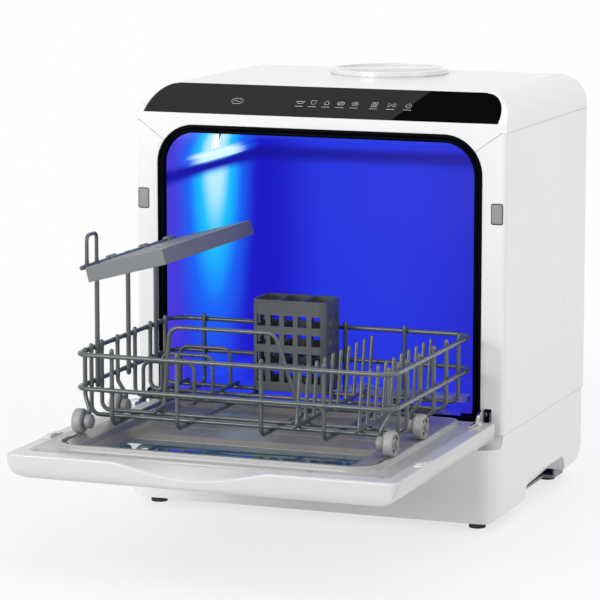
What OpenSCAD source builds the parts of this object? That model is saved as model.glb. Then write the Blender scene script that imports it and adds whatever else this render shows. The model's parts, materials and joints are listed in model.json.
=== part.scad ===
// Countertop dishwasher with its door folded down and its wire basket rolled out on the door.
// Millimetres, +Z up, +Y into the machine, +X to the right as seen from the front.
// Inside the modules the plane of the front frame is y = 0; place() then centres the whole on the origin.

/* [Cabinet] */
// Width over the side panels
cab_w = 420; // [408:1:440]
// Height of the roof above the worktop
cab_h = 457; // [446:1:476]
// Depth from the front frame to the back cover
cab_d = 308; // [305:1:330]
// Wall of the moulded panels
wall = 2.5; // [2:0.1:3]
// Radius of the roof's long edges
roof_r = 34; // [30:1:37]
// Height of the roof hood above its seam
hood_h = 38; // [36:1:39]
// Radius of the upright front edges
edge_r = 5; // [4:0.5:6]
// Radius of the roof's rear edge
rear_r = 14; // [8:1:18]

/* [Plinth] */
// Height of the plinth's top seam
base_h = 99; // [97:0.5:102]
// How far the plinth stands proud of the front frame
base_out = 25; // [22:0.5:26]
// Radius of the plinth's front corners in plan
base_r = 20; // [14:1:24]
// Depth of the ledge under the open door below the plinth's top seam
ledge_drop = 12; // [11:0.5:14]
// Radius of the hollow between the ledge and the front frame
ledge_r = 12; // [9:0.5:12]
// Height of the plinth's lower edge
base_lift = 8; // [7:0.5:9]
// Radius of the plinth's lower side edges
base_belly = 12; // [6:1:14]
// Radius of the plinth's rear lower corner
base_back_r = 36; // [20:1:40]
// Rise of the plinth's lower edge towards the rear
base_rise = 10; // [0:1:12]
// Height of the feet
foot_h = 5; // [4:0.5:6]
// Radius of a foot
foot_r = 9; // [7:0.5:11]
// Length of a grip recess along the side
grip_len = 150; // [120:1:170]
// Height of a grip recess above the plinth's lower edge
grip_h = 26; // [20:1:32]
// Depth of a grip recess
grip_depth = 20; // [15:1:22]

/* [Opening and seal] */
// Distance of the seal's inner edge from the cabinet's side
side_margin = 34.5; // [34:0.5:36]
// Height of the seal's inner lower edge above the plinth
sill_h = 18; // [17.5:0.5:19]
// Depth of the seal's inner upper edge below the roof
head_h = 50; // [49:1:53]
// Inner radius of the seal's upper corners
open_r = 34; // [26:1:38]
// Inner radius of the seal's lower corners
open_rb = 8; // [5:0.5:12]
// Width of the seal's face
seal_w = 8.5; // [7.5:0.5:8.5]
// How far the seal stands proud of the frame
seal_out = 2.5; // [2:0.1:2.6]

/* [Tub] */
// How much wider the tub is than the seal's opening on each side
tub_grow = 1.5; // [1:0.5:3]
// Room between the tub's inside and the back of the cabinet
tub_back = 22; // [18:1:23]
// How much higher the tub's ceiling is than the seal's opening
tub_head = 2; // [1:0.5:4]
// Radius of the tub's upper edges
tub_r = 38; // [28:1:40]
// Wall of the tub
tub_t = 2; // [1.5:0.1:2.4]
// Width of the wheel ledges along the tub's sides
track_w = 18; // [16:0.5:20]
// Depth of the ribs on the tub's upper walls below its ceiling
rail_drop = 46; // [40:1:60]
// Radius of the sump's mouth
sump_r = 40; // [34:1:44]

/* [Control panel] */
// Height of the sloping control panel
panel_h = 29; // [27:0.5:30]
// Depth of the sloping front of the roof
slope_d = 43; // [38:1:46]
// Thickness of the panel
panel_t = 3; // [2.4:0.1:3.2]

/* [Fill opening] */
// Radius of the fill cap
cap_r = 66; // [54:1:70]
// Distance of the fill cap's centre behind the front frame
cap_y = 235; // [230:1:236]
// Depth of the fill cap's seat below the roof
cap_t = 7; // [6:0.5:8]
// Height of the fill cap above the roof
cap_up = 6; // [4:0.5:8]
// Turn of the fill cap's grip bar
cap_turn = 25; // [0:5:45]
// Travel of the fill cap when it is lifted off
cap_lift = 25; // [15:1:40]

/* [Door] */
// Distance of the hinge axis in front of the frame
hinge_out = 12; // [12:0.1:12.4]
// Height of the hinge axis above the plinth
hinge_up = 8; // [7.8:0.1:8.4]
// How far the closed door reaches above the seal's opening
door_over = 24; // [22:1:26]
// Inset of the door's sides from the cabinet's sides
door_side = 3; // [2:0.5:4]
// Height of the inner face above the hinge axis when the door lies flat
face_v = 9; // [8.6:0.1:9.2]
// Depth of the outer face below the hinge axis when the door lies flat
skin_v = 17; // [15:0.1:17.2]
// Height of the raised liner frame above the inner face
rail_v = 5; // [4.6:0.1:5.2]
// Width of the wheel rails on the liner
rail_w = 28; // [24:0.5:29]
// Height of the lip round the liner's free edge
lip_v = 2; // [1:0.1:2.4]
// Width of the door's window
window_w = 260; // [240:1:262]
// Height of the door's window
window_h = 94; // [80:1:96]
// Width of the grip scoop at the door's free edge
scoop_w = 168; // [140:2:180]
// Depth of the grip scoop
scoop_d = 13.5; // [9:0.5:14]
// Length of the grip scoop's slope
scoop_l = 24; // [20:1:28]
// Place of the grip scoop's middle
scoop_x = -8; // [-12:1:12]
// Radius of the door's long edges on its outer face
side_round = 24; // [12:1:25]
// Radius of the door's free edge on its outer face
nose_round = 12; // [6:1:16]

/* [Basket] */
// Radius of a basket wheel
wheel_r = 12.7; // [12:0.1:13]
// Width of a basket wheel
wheel_w = 10; // [8:0.5:10.5]
// Distance between the front and rear axles
wheelbase = 92; // [86:1:96]
// Distance from the hinge axis to the front axle when the basket is rolled out
rollout = 229; // [218:1:230]
// Gap between the seal's opening and the middle of the basket's rims
basket_gap = 4; // [4:0.1:5]
// Length of the basket over the middle of its rims
rim_l = 256; // [250:1:258]
// Height of the upper rim above the front axle
rim_hi = 69; // [64:1:74]
// Height of the lower rim above the front axle
rim_lo = 34; // [32:1:40]
// Corner radius of the rims
rim_r = 24; // [16:1:30]
// Diameter of the rim wire
rim_d = 5; // [4.5:0.1:5.2]
// Diameter of the basket's other wires
wire_d = 4.5; // [4:0.1:4.5]
// Bend radius of the wires
bend_r = 9; // [7:0.5:11]

/* [Cup shelf] */
// Width of the cup shelf
shelf_w = 88; // [70:1:92]
// Length of the cup shelf
shelf_l = 246; // [236:1:248]
// Depth of the shelf's edge
shelf_t = 16; // [10:1:17]
// Upward tilt of the open shelf towards its free edge
shelf_tilt = 15; // [8:1:18]
// Height of the shelf's hinge rod above the front axle
shelf_z = 157; // [150:1:160]

/* [Cutlery holder] */
// Width of the cutlery holder
cutlery_w = 84; // [60:1:84]
// Depth of the cutlery holder
cutlery_d = 48; // [40:1:50]
// Height of the cutlery holder
cutlery_h = 98; // [80:1:110]
// Travel of the holder when it is lifted out
cutlery_lift = 60; // [40:1:70]

/* [Spray arm] */
// Length of the spray arm from its hub
arm_len = 126; // [110:1:130]
// Distance of the hub behind the front frame
arm_y = 148; // [144:1:150]
// Running clearance of a pin in its bore
fit = 0.05; // [0.03:0.01:0.08]
// Gap between parts that move past each other
gap = 0.3; // [0.3:0.05:0.4]

/* [Hidden] */
$fn = 64;

seam_z = cab_h - hood_h;
half_w = cab_w / 2;
spigot_out = 18;
ledge_h = base_h - ledge_drop;
tub_floor = base_h;
open_w = cab_w - 2 * side_margin;
open_z0 = base_h + sill_h;
open_z1 = cab_h - head_h;
tub_w = open_w + 2 * tub_grow;
tub_d = cab_d - tub_back;
tub_top = open_z1 + tub_head;
rail_z = tub_top - rail_drop;
panel_z = cab_h - panel_h;
hinge_z = base_h + hinge_up;
door_len = open_z1 - hinge_z + door_over;
door_w = cab_w - 2 * door_side;
rim_w = open_w - 2 * basket_gap;

// Half the difference between the door's reach in front and the spigot's behind
frame_y = (hinge_out + door_len - cab_d - spigot_out) / 2;
outer_seal_w = open_w + 2 * seal_w;
mitre_x = outer_seal_w / 2 - 64;
hinge_y = -hinge_out;
tub_front = 8;
tub_half = tub_w / 2;
frame_back = wall + gap + 2;

// Plinth and its ports
foot_places = [[-half_w + 27, -3], [half_w - 27, -3], [-half_w + 27, cab_d - 50], [half_w - 27, cab_d - 50]];
pan_inset = base_belly + gap;
pan_back = cab_d - base_back_r;
grip_y = 160;
grip_x = half_w - wall - grip_depth;
spigot_x = -half_w + 60;
inlet_x = half_w - 60;
port_z = 56;
hose_y = 211.2;

// Tub, tank and lamp
sump_x = 84;
sump_y = 86;
lamp_y = 148;
lamp_z = tub_top - 27;
tank_x = -half_w + wall + gap;
tank_z = tub_top - 73;

// Hinges and catches
ear_x = half_w - 17;
arm_x = ear_x - 3;
slot_x = ear_x - 7.5;
slot_w = 11;
slot_z = hinge_z + 20;
pin_r = 2.5;
catch_x = half_w - 9.5;
catch_z = cab_h - 123;
hook_x = catch_x;
hook_u = catch_z - hinge_z;

// Door
liner_x = open_w / 2 - 2;
liner_u0 = 17;
liner_u1 = open_z1 - hinge_z - 5;
liner_r = 30;
liner_seat_w = door_w - 30;
window_u = liner_u1 - 64;
screw_places = [-liner_seat_w / 2 + 8, -110, 110, liner_seat_w / 2 - 8];
screw_u = door_len - 23.6;

// Basket
axle_v = face_v + rail_v + wheel_r + gap;
axle_z = hinge_z + axle_v;
axle_y = hinge_y - rollout;
track_z = axle_z - wheel_r - gap;
rim_x = rim_w / 2;
wheel_x = rim_x - 3.5;
post_x = rim_x - rim_d - fit;
rim_front = 3;
upright_x = rim_x - rim_d / 2 - wire_d / 2 - fit;
upright_a = rim_d / 2 + wire_d / 2 + fit - rim_front;
rear_upright_a = rim_l - rim_front - rim_d / 2 - wire_d / 2 - fit;
floor_z = -2;
cross_z = floor_z + wire_d + fit;
rest_z = cross_z + wire_d + fit;
bracket_x = wheel_x - wheel_w / 2 - 1.2;
strut_foot = 9;
// Where a wire stands inside the corner of the rims
corner_in = (rim_r - rim_d / 2 - wire_d / 2 - fit) * sqrt(0.5);
cross_places = [26, 52, 137, 178, 219];
post_places = [41, 120, 193];
rod_x = -post_x;
cutlery_x = -16;
cutlery_a = 222;

// Helper shapes

module place() {
    translate([0, frame_y, 0]) children();
}

// Rounded rectangle about the origin
module rrect(w, h, r) {
    square([w - 2 * r, h], center = true);
    square([w, h - 2 * r], center = true);
    for (sx = [-1, 1], sy = [-1, 1])
        translate([sx * (w / 2 - r), sy * (h / 2 - r)]) circle(r);
}

// Extrudes an X-Z outline along Y, from y0 to y1
module along_y(y0, y1) {
    translate([0, y1, 0]) rotate([90, 0, 0]) linear_extrude(y1 - y0) children();
}

// Extrudes a Y-Z outline along X, from x0 to x1
module along_x(x0, x1) {
    translate([x0, 0, 0]) rotate([90, 0, 90]) linear_extrude(x1 - x0) children();
}

module both_sides() {
    children();
    mirror([1, 0, 0]) children();
}

// The door lies flat in its own frame: +Y from the hinge to the free edge, +Z out of its inner face
module on_door() {
    translate([0, hinge_y, hinge_z]) mirror([0, 1, 0]) children();
}

// The basket's own frame: front axle at y = 0, +Y to the rear
module on_basket() {
    translate([0, axle_y, axle_z]) children();
}

module rod(p, q, d) {
    v = q - p;
    len = norm(v);
    translate(p) rotate([0, acos(v[2] / len), atan2(v[1], v[0])]) cylinder(h = len, d = d);
}

// Ball that fills the corner where two wires of diameter d meet
module knee(p, d) {
    translate(p) sphere(d = d + 0.1);
}

// Wire through a list of points
module bent_wire(points, d) {
    for (i = [1:len(points) - 1]) rod(points[i - 1], points[i], d);
    for (i = [1:len(points) - 2]) knee(points[i], d);
}

// Quarter bend in the X-Y plane, from the +X side to the +Y side of its centre
module elbow(r, d) {
    rotate_extrude(angle = 90) translate([r, 0]) circle(d = d, $fn = 32);
}

// Closed rectangular wire with bent corners, in the X-Y plane
module wire_loop(w, l, r, d) {
    for (s = [-1, 1]) {
        rod([-w / 2 + r, s * l / 2, 0], [w / 2 - r, s * l / 2, 0], d);
        rod([s * w / 2, -l / 2 + r, 0], [s * w / 2, l / 2 - r, 0], d);
    }
    for (k = [0:3])
        rotate(90 * k)
            translate([(k % 2 == 0 ? w : l) / 2 - r, (k % 2 == 0 ? l : w) / 2 - r, 0]) elbow(r, d);
}

// U-shaped wire in the X-Z plane: its bottom lies on z = 0 and its legs rise to h
module u_wire(w, h, r, d) {
    rod([-w / 2 + r, 0, 0], [w / 2 - r, 0, 0], d);
    both_sides() {
        rod([w / 2, 0, r], [w / 2, 0, h], d);
        translate([w / 2 - r, 0, r]) rotate([-90, 0, 0]) elbow(r, d);
    }
}

// Round-nosed pin standing on z = 0
module tine(h, d) {
    rotate_extrude() {
        square([d / 2, h - d / 2]);
        intersection() {
            translate([0, h - d / 2]) circle(d = d);
            translate([0, h - d]) square([d, 2 * d]);
        }
    }
}

// Cabinet

// Outline of the cabinet seen from the front, drawn in by i
module roof_outline(i) {
    r = roof_r - i;
    translate([0, (cab_h - i) / 2]) square([cab_w - 2 * roof_r, cab_h - i], center = true);
    translate([0, (cab_h - roof_r) / 2]) square([cab_w - 2 * i, cab_h - roof_r], center = true);
    for (s = [-1, 1]) translate([s * (half_w - roof_r), cab_h - roof_r]) circle(r);
}

// Side view of the roof with its sloping front and round rear edge, drawn in by i
module roof_side(i) {
    top = cab_h - i;
    back = cab_d - i;
    polygon([[i, 0], [back, 0], [back, cab_h - rear_r], [cab_d - rear_r, cab_h - rear_r],
        [cab_d - rear_r, top], [slope_d + i * 0.4, top], [i, panel_z - i * 0.3]]);
    translate([cab_d - rear_r, cab_h - rear_r]) circle(rear_r - i);
}

// Side view of the plinth, drawn in by i: its lower edge rises to the rear, where its corner is round
module base_side(i) {
    r = base_back_r - i;
    x = cab_d - base_back_r;
    polygon([[-base_out - 5, base_lift + i], [40, base_lift + i], [x, base_lift + base_rise + i],
        [x, base_h + 1], [-base_out - 5, base_h + 1]]);
    translate([x - 1, base_lift + base_rise + base_back_r]) square([cab_d - i - x + 1, 200]);
    translate([x, base_lift + base_rise + base_back_r]) circle(r);
}

// Front view of the plinth with its round lower edges, drawn in by i
module base_front(i) {
    r = base_belly - i;
    x = half_w - base_belly;
    translate([-x, base_lift + i]) square([2 * x, base_h]);
    translate([-half_w + i, base_lift + base_belly]) square([cab_w - 2 * i, base_h]);
    for (s = [-1, 1]) translate([s * x, base_lift + base_belly]) circle(r);
}

// Plan of the plinth, drawn in by i
module base_plan(i) {
    w = cab_w - 2 * i;
    r = base_r - i;
    rb = 8 - i * 0.4;
    y0 = -base_out + i;
    y1 = cab_d - i;
    translate([-w / 2 + r, y0]) square([w - 2 * r, y1 - y0 - rb]);
    translate([-w / 2, y0 + r]) square([w, y1 - y0 - r - rb]);
    translate([-w / 2 + rb, y0 + r]) square([w - 2 * rb, y1 - y0 - r]);
    for (s = [-1, 1]) {
        translate([s * (w / 2 - r), y0 + r]) circle(r);
        translate([s * (w / 2 - rb), y1 - rb]) circle(rb);
    }
}

// Outline of the door opening, grown by g
module opening(g) {
    w = open_w + 2 * g;
    h = open_z1 - open_z0 + 2 * g;
    translate([0, (open_z0 + open_z1) / 2]) {
        difference() {
            rrect(w, h, open_r + g);
            translate([0, -h / 4 - 1]) square([w + 2, h / 2 + 2], center = true);
        }
        difference() {
            rrect(w, h, open_rb + g);
            translate([0, h / 4 + 1]) square([w + 2, h / 2 + 2], center = true);
        }
    }
}

// Space above the ledge under the door, grown by g
module over_ledge(g) {
    z0 = ledge_h - g;
    y0 = -base_out - 10;
    translate([y0, z0]) square([base_out + 10 - ledge_r - 1, base_h - z0 + 5]);
    translate([-ledge_r - 1, base_h]) circle(ledge_r + g);
    translate([y0, base_h]) square([base_out + 10 - 1 + g, 5]);
}

// Slot through which the hinge arm and the hinge ear pass
module hinge_slot() {
    both_sides() translate([slot_x, -8, hinge_z - 14]) cube([slot_w, 15, slot_z - hinge_z + 14]);
}

// Side view of a grip recess, grown by g
module grip_outline(g) {
    z = base_lift + grip_h + g;
    r = 14;
    l = grip_len + 2 * g;
    translate([grip_y - l / 2 + r, -1]) square([l - 2 * r, z + 1]);
    translate([grip_y - l / 2, -1]) square([l, z + 1 - r]);
    for (s = [-1, 1]) translate([grip_y + s * (l / 2 - r), z - r]) circle(r);
}

// Mouth in the plinth's underside, drawn in by i
module pan_outline(i) {
    intersection() {
        base_plan(i);
        translate([-half_w, -base_out]) square([cab_w, base_out + pan_back + base_belly - i]);
    }
}

module base_pan() {
    stud_h = tub_floor - tub_t - foot_h - 3;
    color("dimgray") place() {
        difference() {
            translate([0, 0, foot_h]) linear_extrude(12) pan_outline(pan_inset);
            translate([0, 0, foot_h + 3]) linear_extrude(20) pan_outline(pan_inset + 2);
            both_sides()
                translate([grip_x - 3, grip_y - grip_len / 2 - 3, 0]) cube([60, grip_len + 6, 60]);
            for (p = foot_places) translate([p[0], p[1], 0]) cylinder(h = 20, r = 4 + gap);
            for (x = [-60:20:60]) translate([x - 3, 140, 0]) cube([6, 44, 20]);
        }
        // Ribs that stiffen the pan
        for (x = [-150, -110, 110, 150]) translate([x, 10, foot_h + 2.9]) cube([2, pan_back - 22, 5]);
        // Studs that carry the tub's floor
        for (x = [-128, 128], y = [20, 256]) translate([x, y, foot_h + 2.9]) cylinder(h = stud_h + 0.1, r = 6);
    }
}

// Outer form of the plinth, drawn in by i and open at the top where it is a hollow
module base_body(i) {
    intersection() {
        linear_extrude(base_h + (i > 0 ? 1 : 0)) base_plan(i);
        along_x(-half_w, half_w) base_side(i);
        along_y(-base_out, cab_d) base_front(i);
    }
}

module base_shell() {
    color("whitesmoke") place() difference() {
        base_body(0);
        difference() {
            base_body(wall);
            along_x(-half_w, half_w) over_ledge(wall);
            both_sides() along_x(grip_x, half_w) grip_outline(2);
        }
        // Mouth below, which the pan closes
        difference() {
            translate([0, 0, -1]) linear_extrude(base_lift + base_rise + wall + 3) pan_outline(base_belly);
            both_sides() along_x(grip_x, half_w) grip_outline(2);
        }
        both_sides() along_x(grip_x + 2, half_w + 1) grip_outline(0);
        along_x(-half_w - 1, half_w + 1) over_ledge(0);
        hinge_slot();
        // Gap that lets the front frame stand in the plinth
        translate([-half_w + 10, 0, ledge_h]) cube([cab_w - 20, 6, 40]);
        rear_port(0.3);
    }
}

// Ports in the plinth's rear wall for the drain spigot and the inlet connector
module rear_port(g) {
    for (x = [spigot_x, inlet_x])
        translate([x, cab_d - 20, port_z]) rotate([-90, 0, 0]) cylinder(h = 40, r = 12 + g);
}

module feet() {
    color("black") place() for (p = foot_places) translate([p[0], p[1], 0]) {
        cylinder(h = foot_h, r = foot_r);
        cylinder(h = foot_h + 6, r = 4);
    }
}

// White face of the front round the seal, as an X-Z outline
module face_outline() {
    difference() {
        translate([-half_w + edge_r, base_h]) square([cab_w - 2 * edge_r, panel_z - base_h]);
        opening(seal_w + gap);
    }
}

// Part of the front face that belongs to a side panel, cut to a mitre at its top
module side_mitre(g) {
    z = seam_z - g;
    x = half_w - edge_r;
    polygon([[mitre_x, open_z0 + 40], [half_w + 1, base_h - 1], [half_w + 1, z], [x, z],
        [mitre_x, z - (x - mitre_x) * 0.72]]);
    translate([outer_seal_w / 2 - 14, base_h + gap]) square([half_w - outer_seal_w / 2 + 15, 80]);
}

module side_panel() {
    difference() {
        union() {
            along_y(0, wall) intersection() {
                face_outline();
                side_mitre(gap);
            }
            // Rounded front edge and the side itself
            translate([0, 0, base_h + gap]) linear_extrude(seam_z - base_h - 2 * gap) {
                difference() {
                    translate([half_w - edge_r, edge_r]) circle(edge_r);
                    translate([half_w - edge_r, edge_r]) circle(edge_r - wall);
                    translate([half_w - 3 * edge_r, 0]) square([2 * edge_r, 4 * edge_r]);
                    translate([half_w - 3 * edge_r, edge_r]) square([4 * edge_r, 4 * edge_r]);
                }
                translate([half_w - wall, edge_r]) square([wall, cab_d - edge_r]);
            }
        }
        hinge_slot();
        along_y(-1, wall + 1) catch_outline(gap);
    }
    // Return along the rear edge that carries the back cover
    translate([half_w - wall - 10, cab_d - 2 * wall - gap, base_h + gap])
        cube([10, wall, seam_z - base_h - 2 * gap]);
}

module side_panel_left() {
    color("whitesmoke") place() mirror([1, 0, 0]) side_panel();
}

module side_panel_right() {
    color("whitesmoke") place() side_panel();
}

// Inner steel frame that carries the seal, the hinges and the catches
module front_frame() {
    color("silver") place() {
        difference() {
            along_y(wall + gap, frame_back) difference() {
                translate([-half_w + 6, ledge_h]) square([cab_w - 12, seam_z - 2 - ledge_h]);
                opening(4);
            }
            hinge_slot();
            along_y(-1, 20) both_halves() catch_outline(1);
            translate([-half_w, 0, base_h - 20]) cube([cab_w, 20, 20]);
        }
        // Sill below the seal
        along_y(0, wall + gap) difference() {
            translate([-outer_seal_w / 2 + 14, base_h + gap])
                square([outer_seal_w - 28, open_z0 - seal_w - gap - base_h - gap]);
            opening(seal_w + gap);
        }
    }
}

module both_halves() {
    children();
    mirror([1, 0]) children();
}

module top_cover() {
    color("whitesmoke") place() {
        difference() {
            intersection() {
                along_y(0, cab_d) roof_outline(0);
                along_x(-half_w, half_w) roof_side(0);
                translate([-half_w, -1, seam_z]) cube([cab_w, cab_d + 2, hood_h + 1]);
            }
            intersection() {
                along_y(-1, cab_d) roof_outline(wall);
                along_x(-half_w, half_w) roof_side(wall);
                translate([-half_w, -1, seam_z - 1]) cube([cab_w, cab_d + 2, hood_h + 2]);
            }
            panel_body(gap, 0);
            translate([0, cap_y, cab_h - 10]) cylinder(h = 20, r = cap_r + gap);
        }
        // Fascia strip above the seal
        along_y(0, wall) difference() {
            face_outline();
            side_mitre(-gap);
            mirror([1, 0]) side_mitre(-gap);
            translate([-half_w, 0]) square([cab_w, open_z1 - 40]);
            translate([-half_w, seam_z + 2]) square([cab_w, 60]);
        }
        // Seat for the fill cap
        translate([0, cap_y, cab_h - cap_t - 3]) difference() {
            cylinder(h = cap_t + 2, r = cap_r + gap + 2);
            translate([0, 0, -1]) cylinder(h = cap_t + 5, r = cap_r - 8);
            translate([0, 0, 3]) cylinder(h = cap_t + 5, r = cap_r + gap);
        }
    }
}

// Sloping slab of the control panel: g grows its outline, d sinks it
module panel_body(g, d) {
    slope = atan2(cab_h - 1 - panel_z, slope_d - 1);
    run = norm([cab_h - 1 - panel_z, slope_d - 1]);
    intersection() {
        translate([0, 0.5, panel_z + 0.5]) rotate([slope, 0, 0])
            translate([-half_w, -g, -panel_t - g + 0.4]) cube([cab_w, run + g, panel_t + 2 * g + d]);
        along_y(-10, slope_d + 20) {
            z = panel_z + 4;
            r = cab_h - 1 - z + g;
            x = half_w - roof_r;
            translate([-x - r, panel_z - 8]) square([2 * (x + r), 12]);
            translate([-x, panel_z - 8]) square([2 * x, 60]);
            for (s = [-1, 1]) translate([s * x, z]) circle(r);
        }
    }
}

module control_panel() {
    color("#2a2a2a") place() panel_body(0, 0);
}

module control_board() {
    slope = atan2(cab_h - 1 - panel_z, slope_d - 1);
    color("darkgreen") place() translate([0, 6, panel_z - 6]) rotate([slope, 0, 0]) {
        translate([-150, 2, 0]) cube([300, 26, 1.6]);
        for (x = [-120, -30, 60]) translate([x, 8, -6]) cube([24, 14, 6]);
        // Stand-offs up to the panel's back
        for (x = [-146, 138]) translate([x, 10, 1.5]) cube([8, 8, 4.1]);
    }
}

module back_cover() {
    color("gainsboro") place() difference() {
        along_y(cab_d - wall, cab_d - 0.2) difference() {
            intersection() {
                translate([-half_w + wall + gap, base_h + gap])
                    square([cab_w - 2 * wall - 2 * gap, seam_z - base_h - 2 * gap]);
                roof_outline(wall + gap);
            }
            // Vent slots in two groups
            for (x = [-110, 60], k = [0:9])
                translate([x, 150 + 12 * k]) rrect(60, 4, 1.9);
            for (k = [0:6]) translate([-24 + 8 * k, seam_z - 47]) rrect(3.6, 36, 1.7);
        }
    }
}

// Inside of the tub seen from the front, grown by g: a wide box over a narrower trough
module tub_outline(g) {
    hi = tub_top + g;
    r = tub_r + g;
    w = tub_w + 2 * g;
    translate([-w / 2, track_z - g]) square([w, tub_top - tub_r - track_z + g]);
    translate([-w / 2 + r, track_z - g]) square([w - 2 * r, hi - track_z + g]);
    for (s = [-1, 1]) translate([s * (w / 2 - r), hi - r]) circle(r);
    x = tub_half - track_w + g;
    translate([-x, tub_floor - g]) square([2 * x, 60]);
}

module tub() {
    color("royalblue") place() {
        difference() {
            along_y(tub_front, tub_d + tub_t) tub_outline(tub_t);
            along_y(tub_front - 1, tub_d) tub_outline(0);
            translate([sump_x, sump_y, tub_floor - 10]) cylinder(h = 20, r = sump_r);
            translate([0, arm_y, tub_floor - 10]) cylinder(h = 20, r = 7 + gap);
            // Mouth of the lamp in the left wall
            translate([-tub_half - 8, lamp_y - 12, lamp_z - 8]) cube([16, 24, 16]);
        }
        // Flange behind the seal
        along_y(frame_back + 0.1, tub_front) difference() {
            translate([-outer_seal_w / 2, open_z0 - seal_w])
                square([outer_seal_w, open_z1 - open_z0 + 2 * seal_w]);
            opening(4);
            tub_outline(0);
        }
        along_y(frame_back + 0.1, tub_front) difference() {
            opening(seal_w);
            opening(3.6);
        }
        // Sill at the front of the trough
        along_y(tub_front, tub_front + tub_t)
            translate([-tub_half + track_w, tub_floor - tub_t])
                square([tub_w - 2 * track_w, open_z0 - 4 - tub_floor + tub_t]);
        // Ribs round the upper walls
        for (s = [-1, 1])
            translate([s > 0 ? tub_half - 4 : -tub_half, 58, rail_z]) cube([4, tub_d - 58, 6]);
        translate([-tub_half + 4, tub_d - 4, rail_z]) cube([tub_w - 8, 4, 6]);
        // Small clips near the mouth on both walls
        for (s = [-1, 1])
            translate([s * (tub_half - 2), 24, rail_z - 4]) cube([4, 14, 10], center = true);
    }
}

module door_gasket() {
    color("black") place() {
        along_y(-seal_out, frame_back) difference() {
            opening(3.4);
            opening(0);
        }
        along_y(-seal_out, wall) difference() {
            opening(seal_w);
            opening(3.4);
        }
    }
}

// Catches beside the opening
module catch_outline(g) {
    translate([catch_x, catch_z]) rrect(12.5 + 2 * g, 22 + 2 * g, 2 + g);
}

module door_catches() {
    color("gray") place() both_sides() {
        difference() {
            along_y(-0.4, 11) catch_outline(0);
            translate([catch_x - 4, -2, catch_z - 8]) cube([8, 11, 16]);
        }
    }
}

module hinge_brackets() {
    pin_x = slot_x + 0.5;
    color("silver") place() both_sides() {
        along_x(ear_x, ear_x + 3) {
            translate([hinge_y, hinge_z]) circle(6);
            translate([hinge_y, hinge_z - 6]) square([60, 12]);
            translate([9, 34]) square([32, hinge_z - 34 + 15]);
        }
        // Foot, and the tabs behind the front frame
        translate([ear_x + 3, 9, 34]) cube([6, 32, 3]);
        translate([ear_x + 3, frame_back + 0.1, hinge_z + 13]) cube([8, 4, 2]);
        translate([ear_x, frame_back + 0.1, hinge_z + 3]) cube([3, 6, 12]);
        // Hinge pin with its head
        translate([pin_x, hinge_y, hinge_z]) rotate([0, 90, 0]) cylinder(h = 8, r = pin_r);
        translate([pin_x - 1.4, hinge_y, hinge_z]) rotate([0, 90, 0]) cylinder(h = 1.4, r = 4);
    }
}

module sump() {
    color("#303236") place() translate([sump_x, sump_y, 0]) difference() {
        union() {
            translate([0, 0, 30]) cylinder(h = tub_floor - tub_t - 30 - 0.05, r = sump_r + 6);
            translate([0, 0, foot_h + 3]) cylinder(h = 25, r = 10);
            translate([0, 0, 44]) rotate([0, 90, 180]) cylinder(h = 60, r = 9);
        }
        translate([0, 0, 34]) cylinder(h = 80, r = sump_r - 4);
        translate([-20, 0, 44]) rotate([0, 90, 180]) cylinder(h = 60, r = 7);
    }
}

module filter_plate() {
    color("silver") place() translate([sump_x, sump_y, tub_floor - tub_t]) difference() {
        cylinder(h = 1.6, r = sump_r - 0.4);
        translate([0, 0, -1]) cylinder(h = 5, r = 24 + gap);
        for (ring = [0:1], k = [0:15])
            rotate(22.5 * k + 11.25 * ring) translate([28.5 + 5 * ring, 0, -1]) cylinder(h = 5, r = 1.6);
    }
}

module filter_cup() {
    color("gray") place() translate([sump_x, sump_y, 0]) {
        difference() {
            translate([0, 0, 48]) cylinder(h = tub_floor - 48, r = 24);
            translate([0, 0, 50]) cylinder(h = 60, r = 22);
            for (k = [0:5], z = [56, 72]) rotate(60 * k) translate([15, -5, z]) cube([20, 10, 9]);
        }
        // Flange that rests on the plate, and the finger bar across the mouth
        difference() {
            translate([0, 0, tub_floor - 0.35]) cylinder(h = 2, r = 27);
            translate([0, 0, tub_floor - 2]) cylinder(h = 6, r = 21);
        }
        translate([-23, -2, tub_floor - 6]) cube([46, 4, 7]);
    }
}

module wash_pump() {
    color("#44474c") place() {
        translate([-20, sump_y, 44]) rotate([0, -90, 0]) {
            cylinder(h = 26, r = 24);
            translate([0, 0, 26]) cylinder(h = 52, r = 21);
            translate([0, 0, 78]) cylinder(h = 6, r = 12);
        }
        // Cradle on the pan
        translate([-86, sump_y - 14, foot_h + 3.02]) cube([30, 28, 18]);
        // Outlet that rises to the spray arm's post
        translate([-33, sump_y, 44]) rotate([-90, 0, 0]) cylinder(h = arm_y - sump_y, r = 8);
        translate([-33, arm_y, 44]) sphere(8);
        rod([-33, arm_y, 44], [-12, arm_y, 44], 16);
    }
}

module drain_pump() {
    color("#4a4d52") place() {
        translate([sump_x, 150, 36]) rotate([-90, 0, 0]) {
            cylinder(h = 18, r = 18);
            translate([0, 0, 18]) cylinder(h = 36, r = 14);
        }
        translate([sump_x - 10, 172, foot_h + 3.02]) cube([20, 26, 16]);
        rod([sump_x, 137, 36], [sump_x, 150, 36], 12);
    }
}

module heater() {
    color("silver") place() {
        translate([-60, 244, 40]) rotate([0, 90, 0]) cylinder(h = 100, r = 15);
        for (x = [-50, 20]) translate([x, 234, foot_h + 3.02]) cube([10, 20, 20]);
        translate([-66, 244, 40]) rotate([0, 90, 0]) cylinder(h = 112, r = 6);
    }
}

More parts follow.
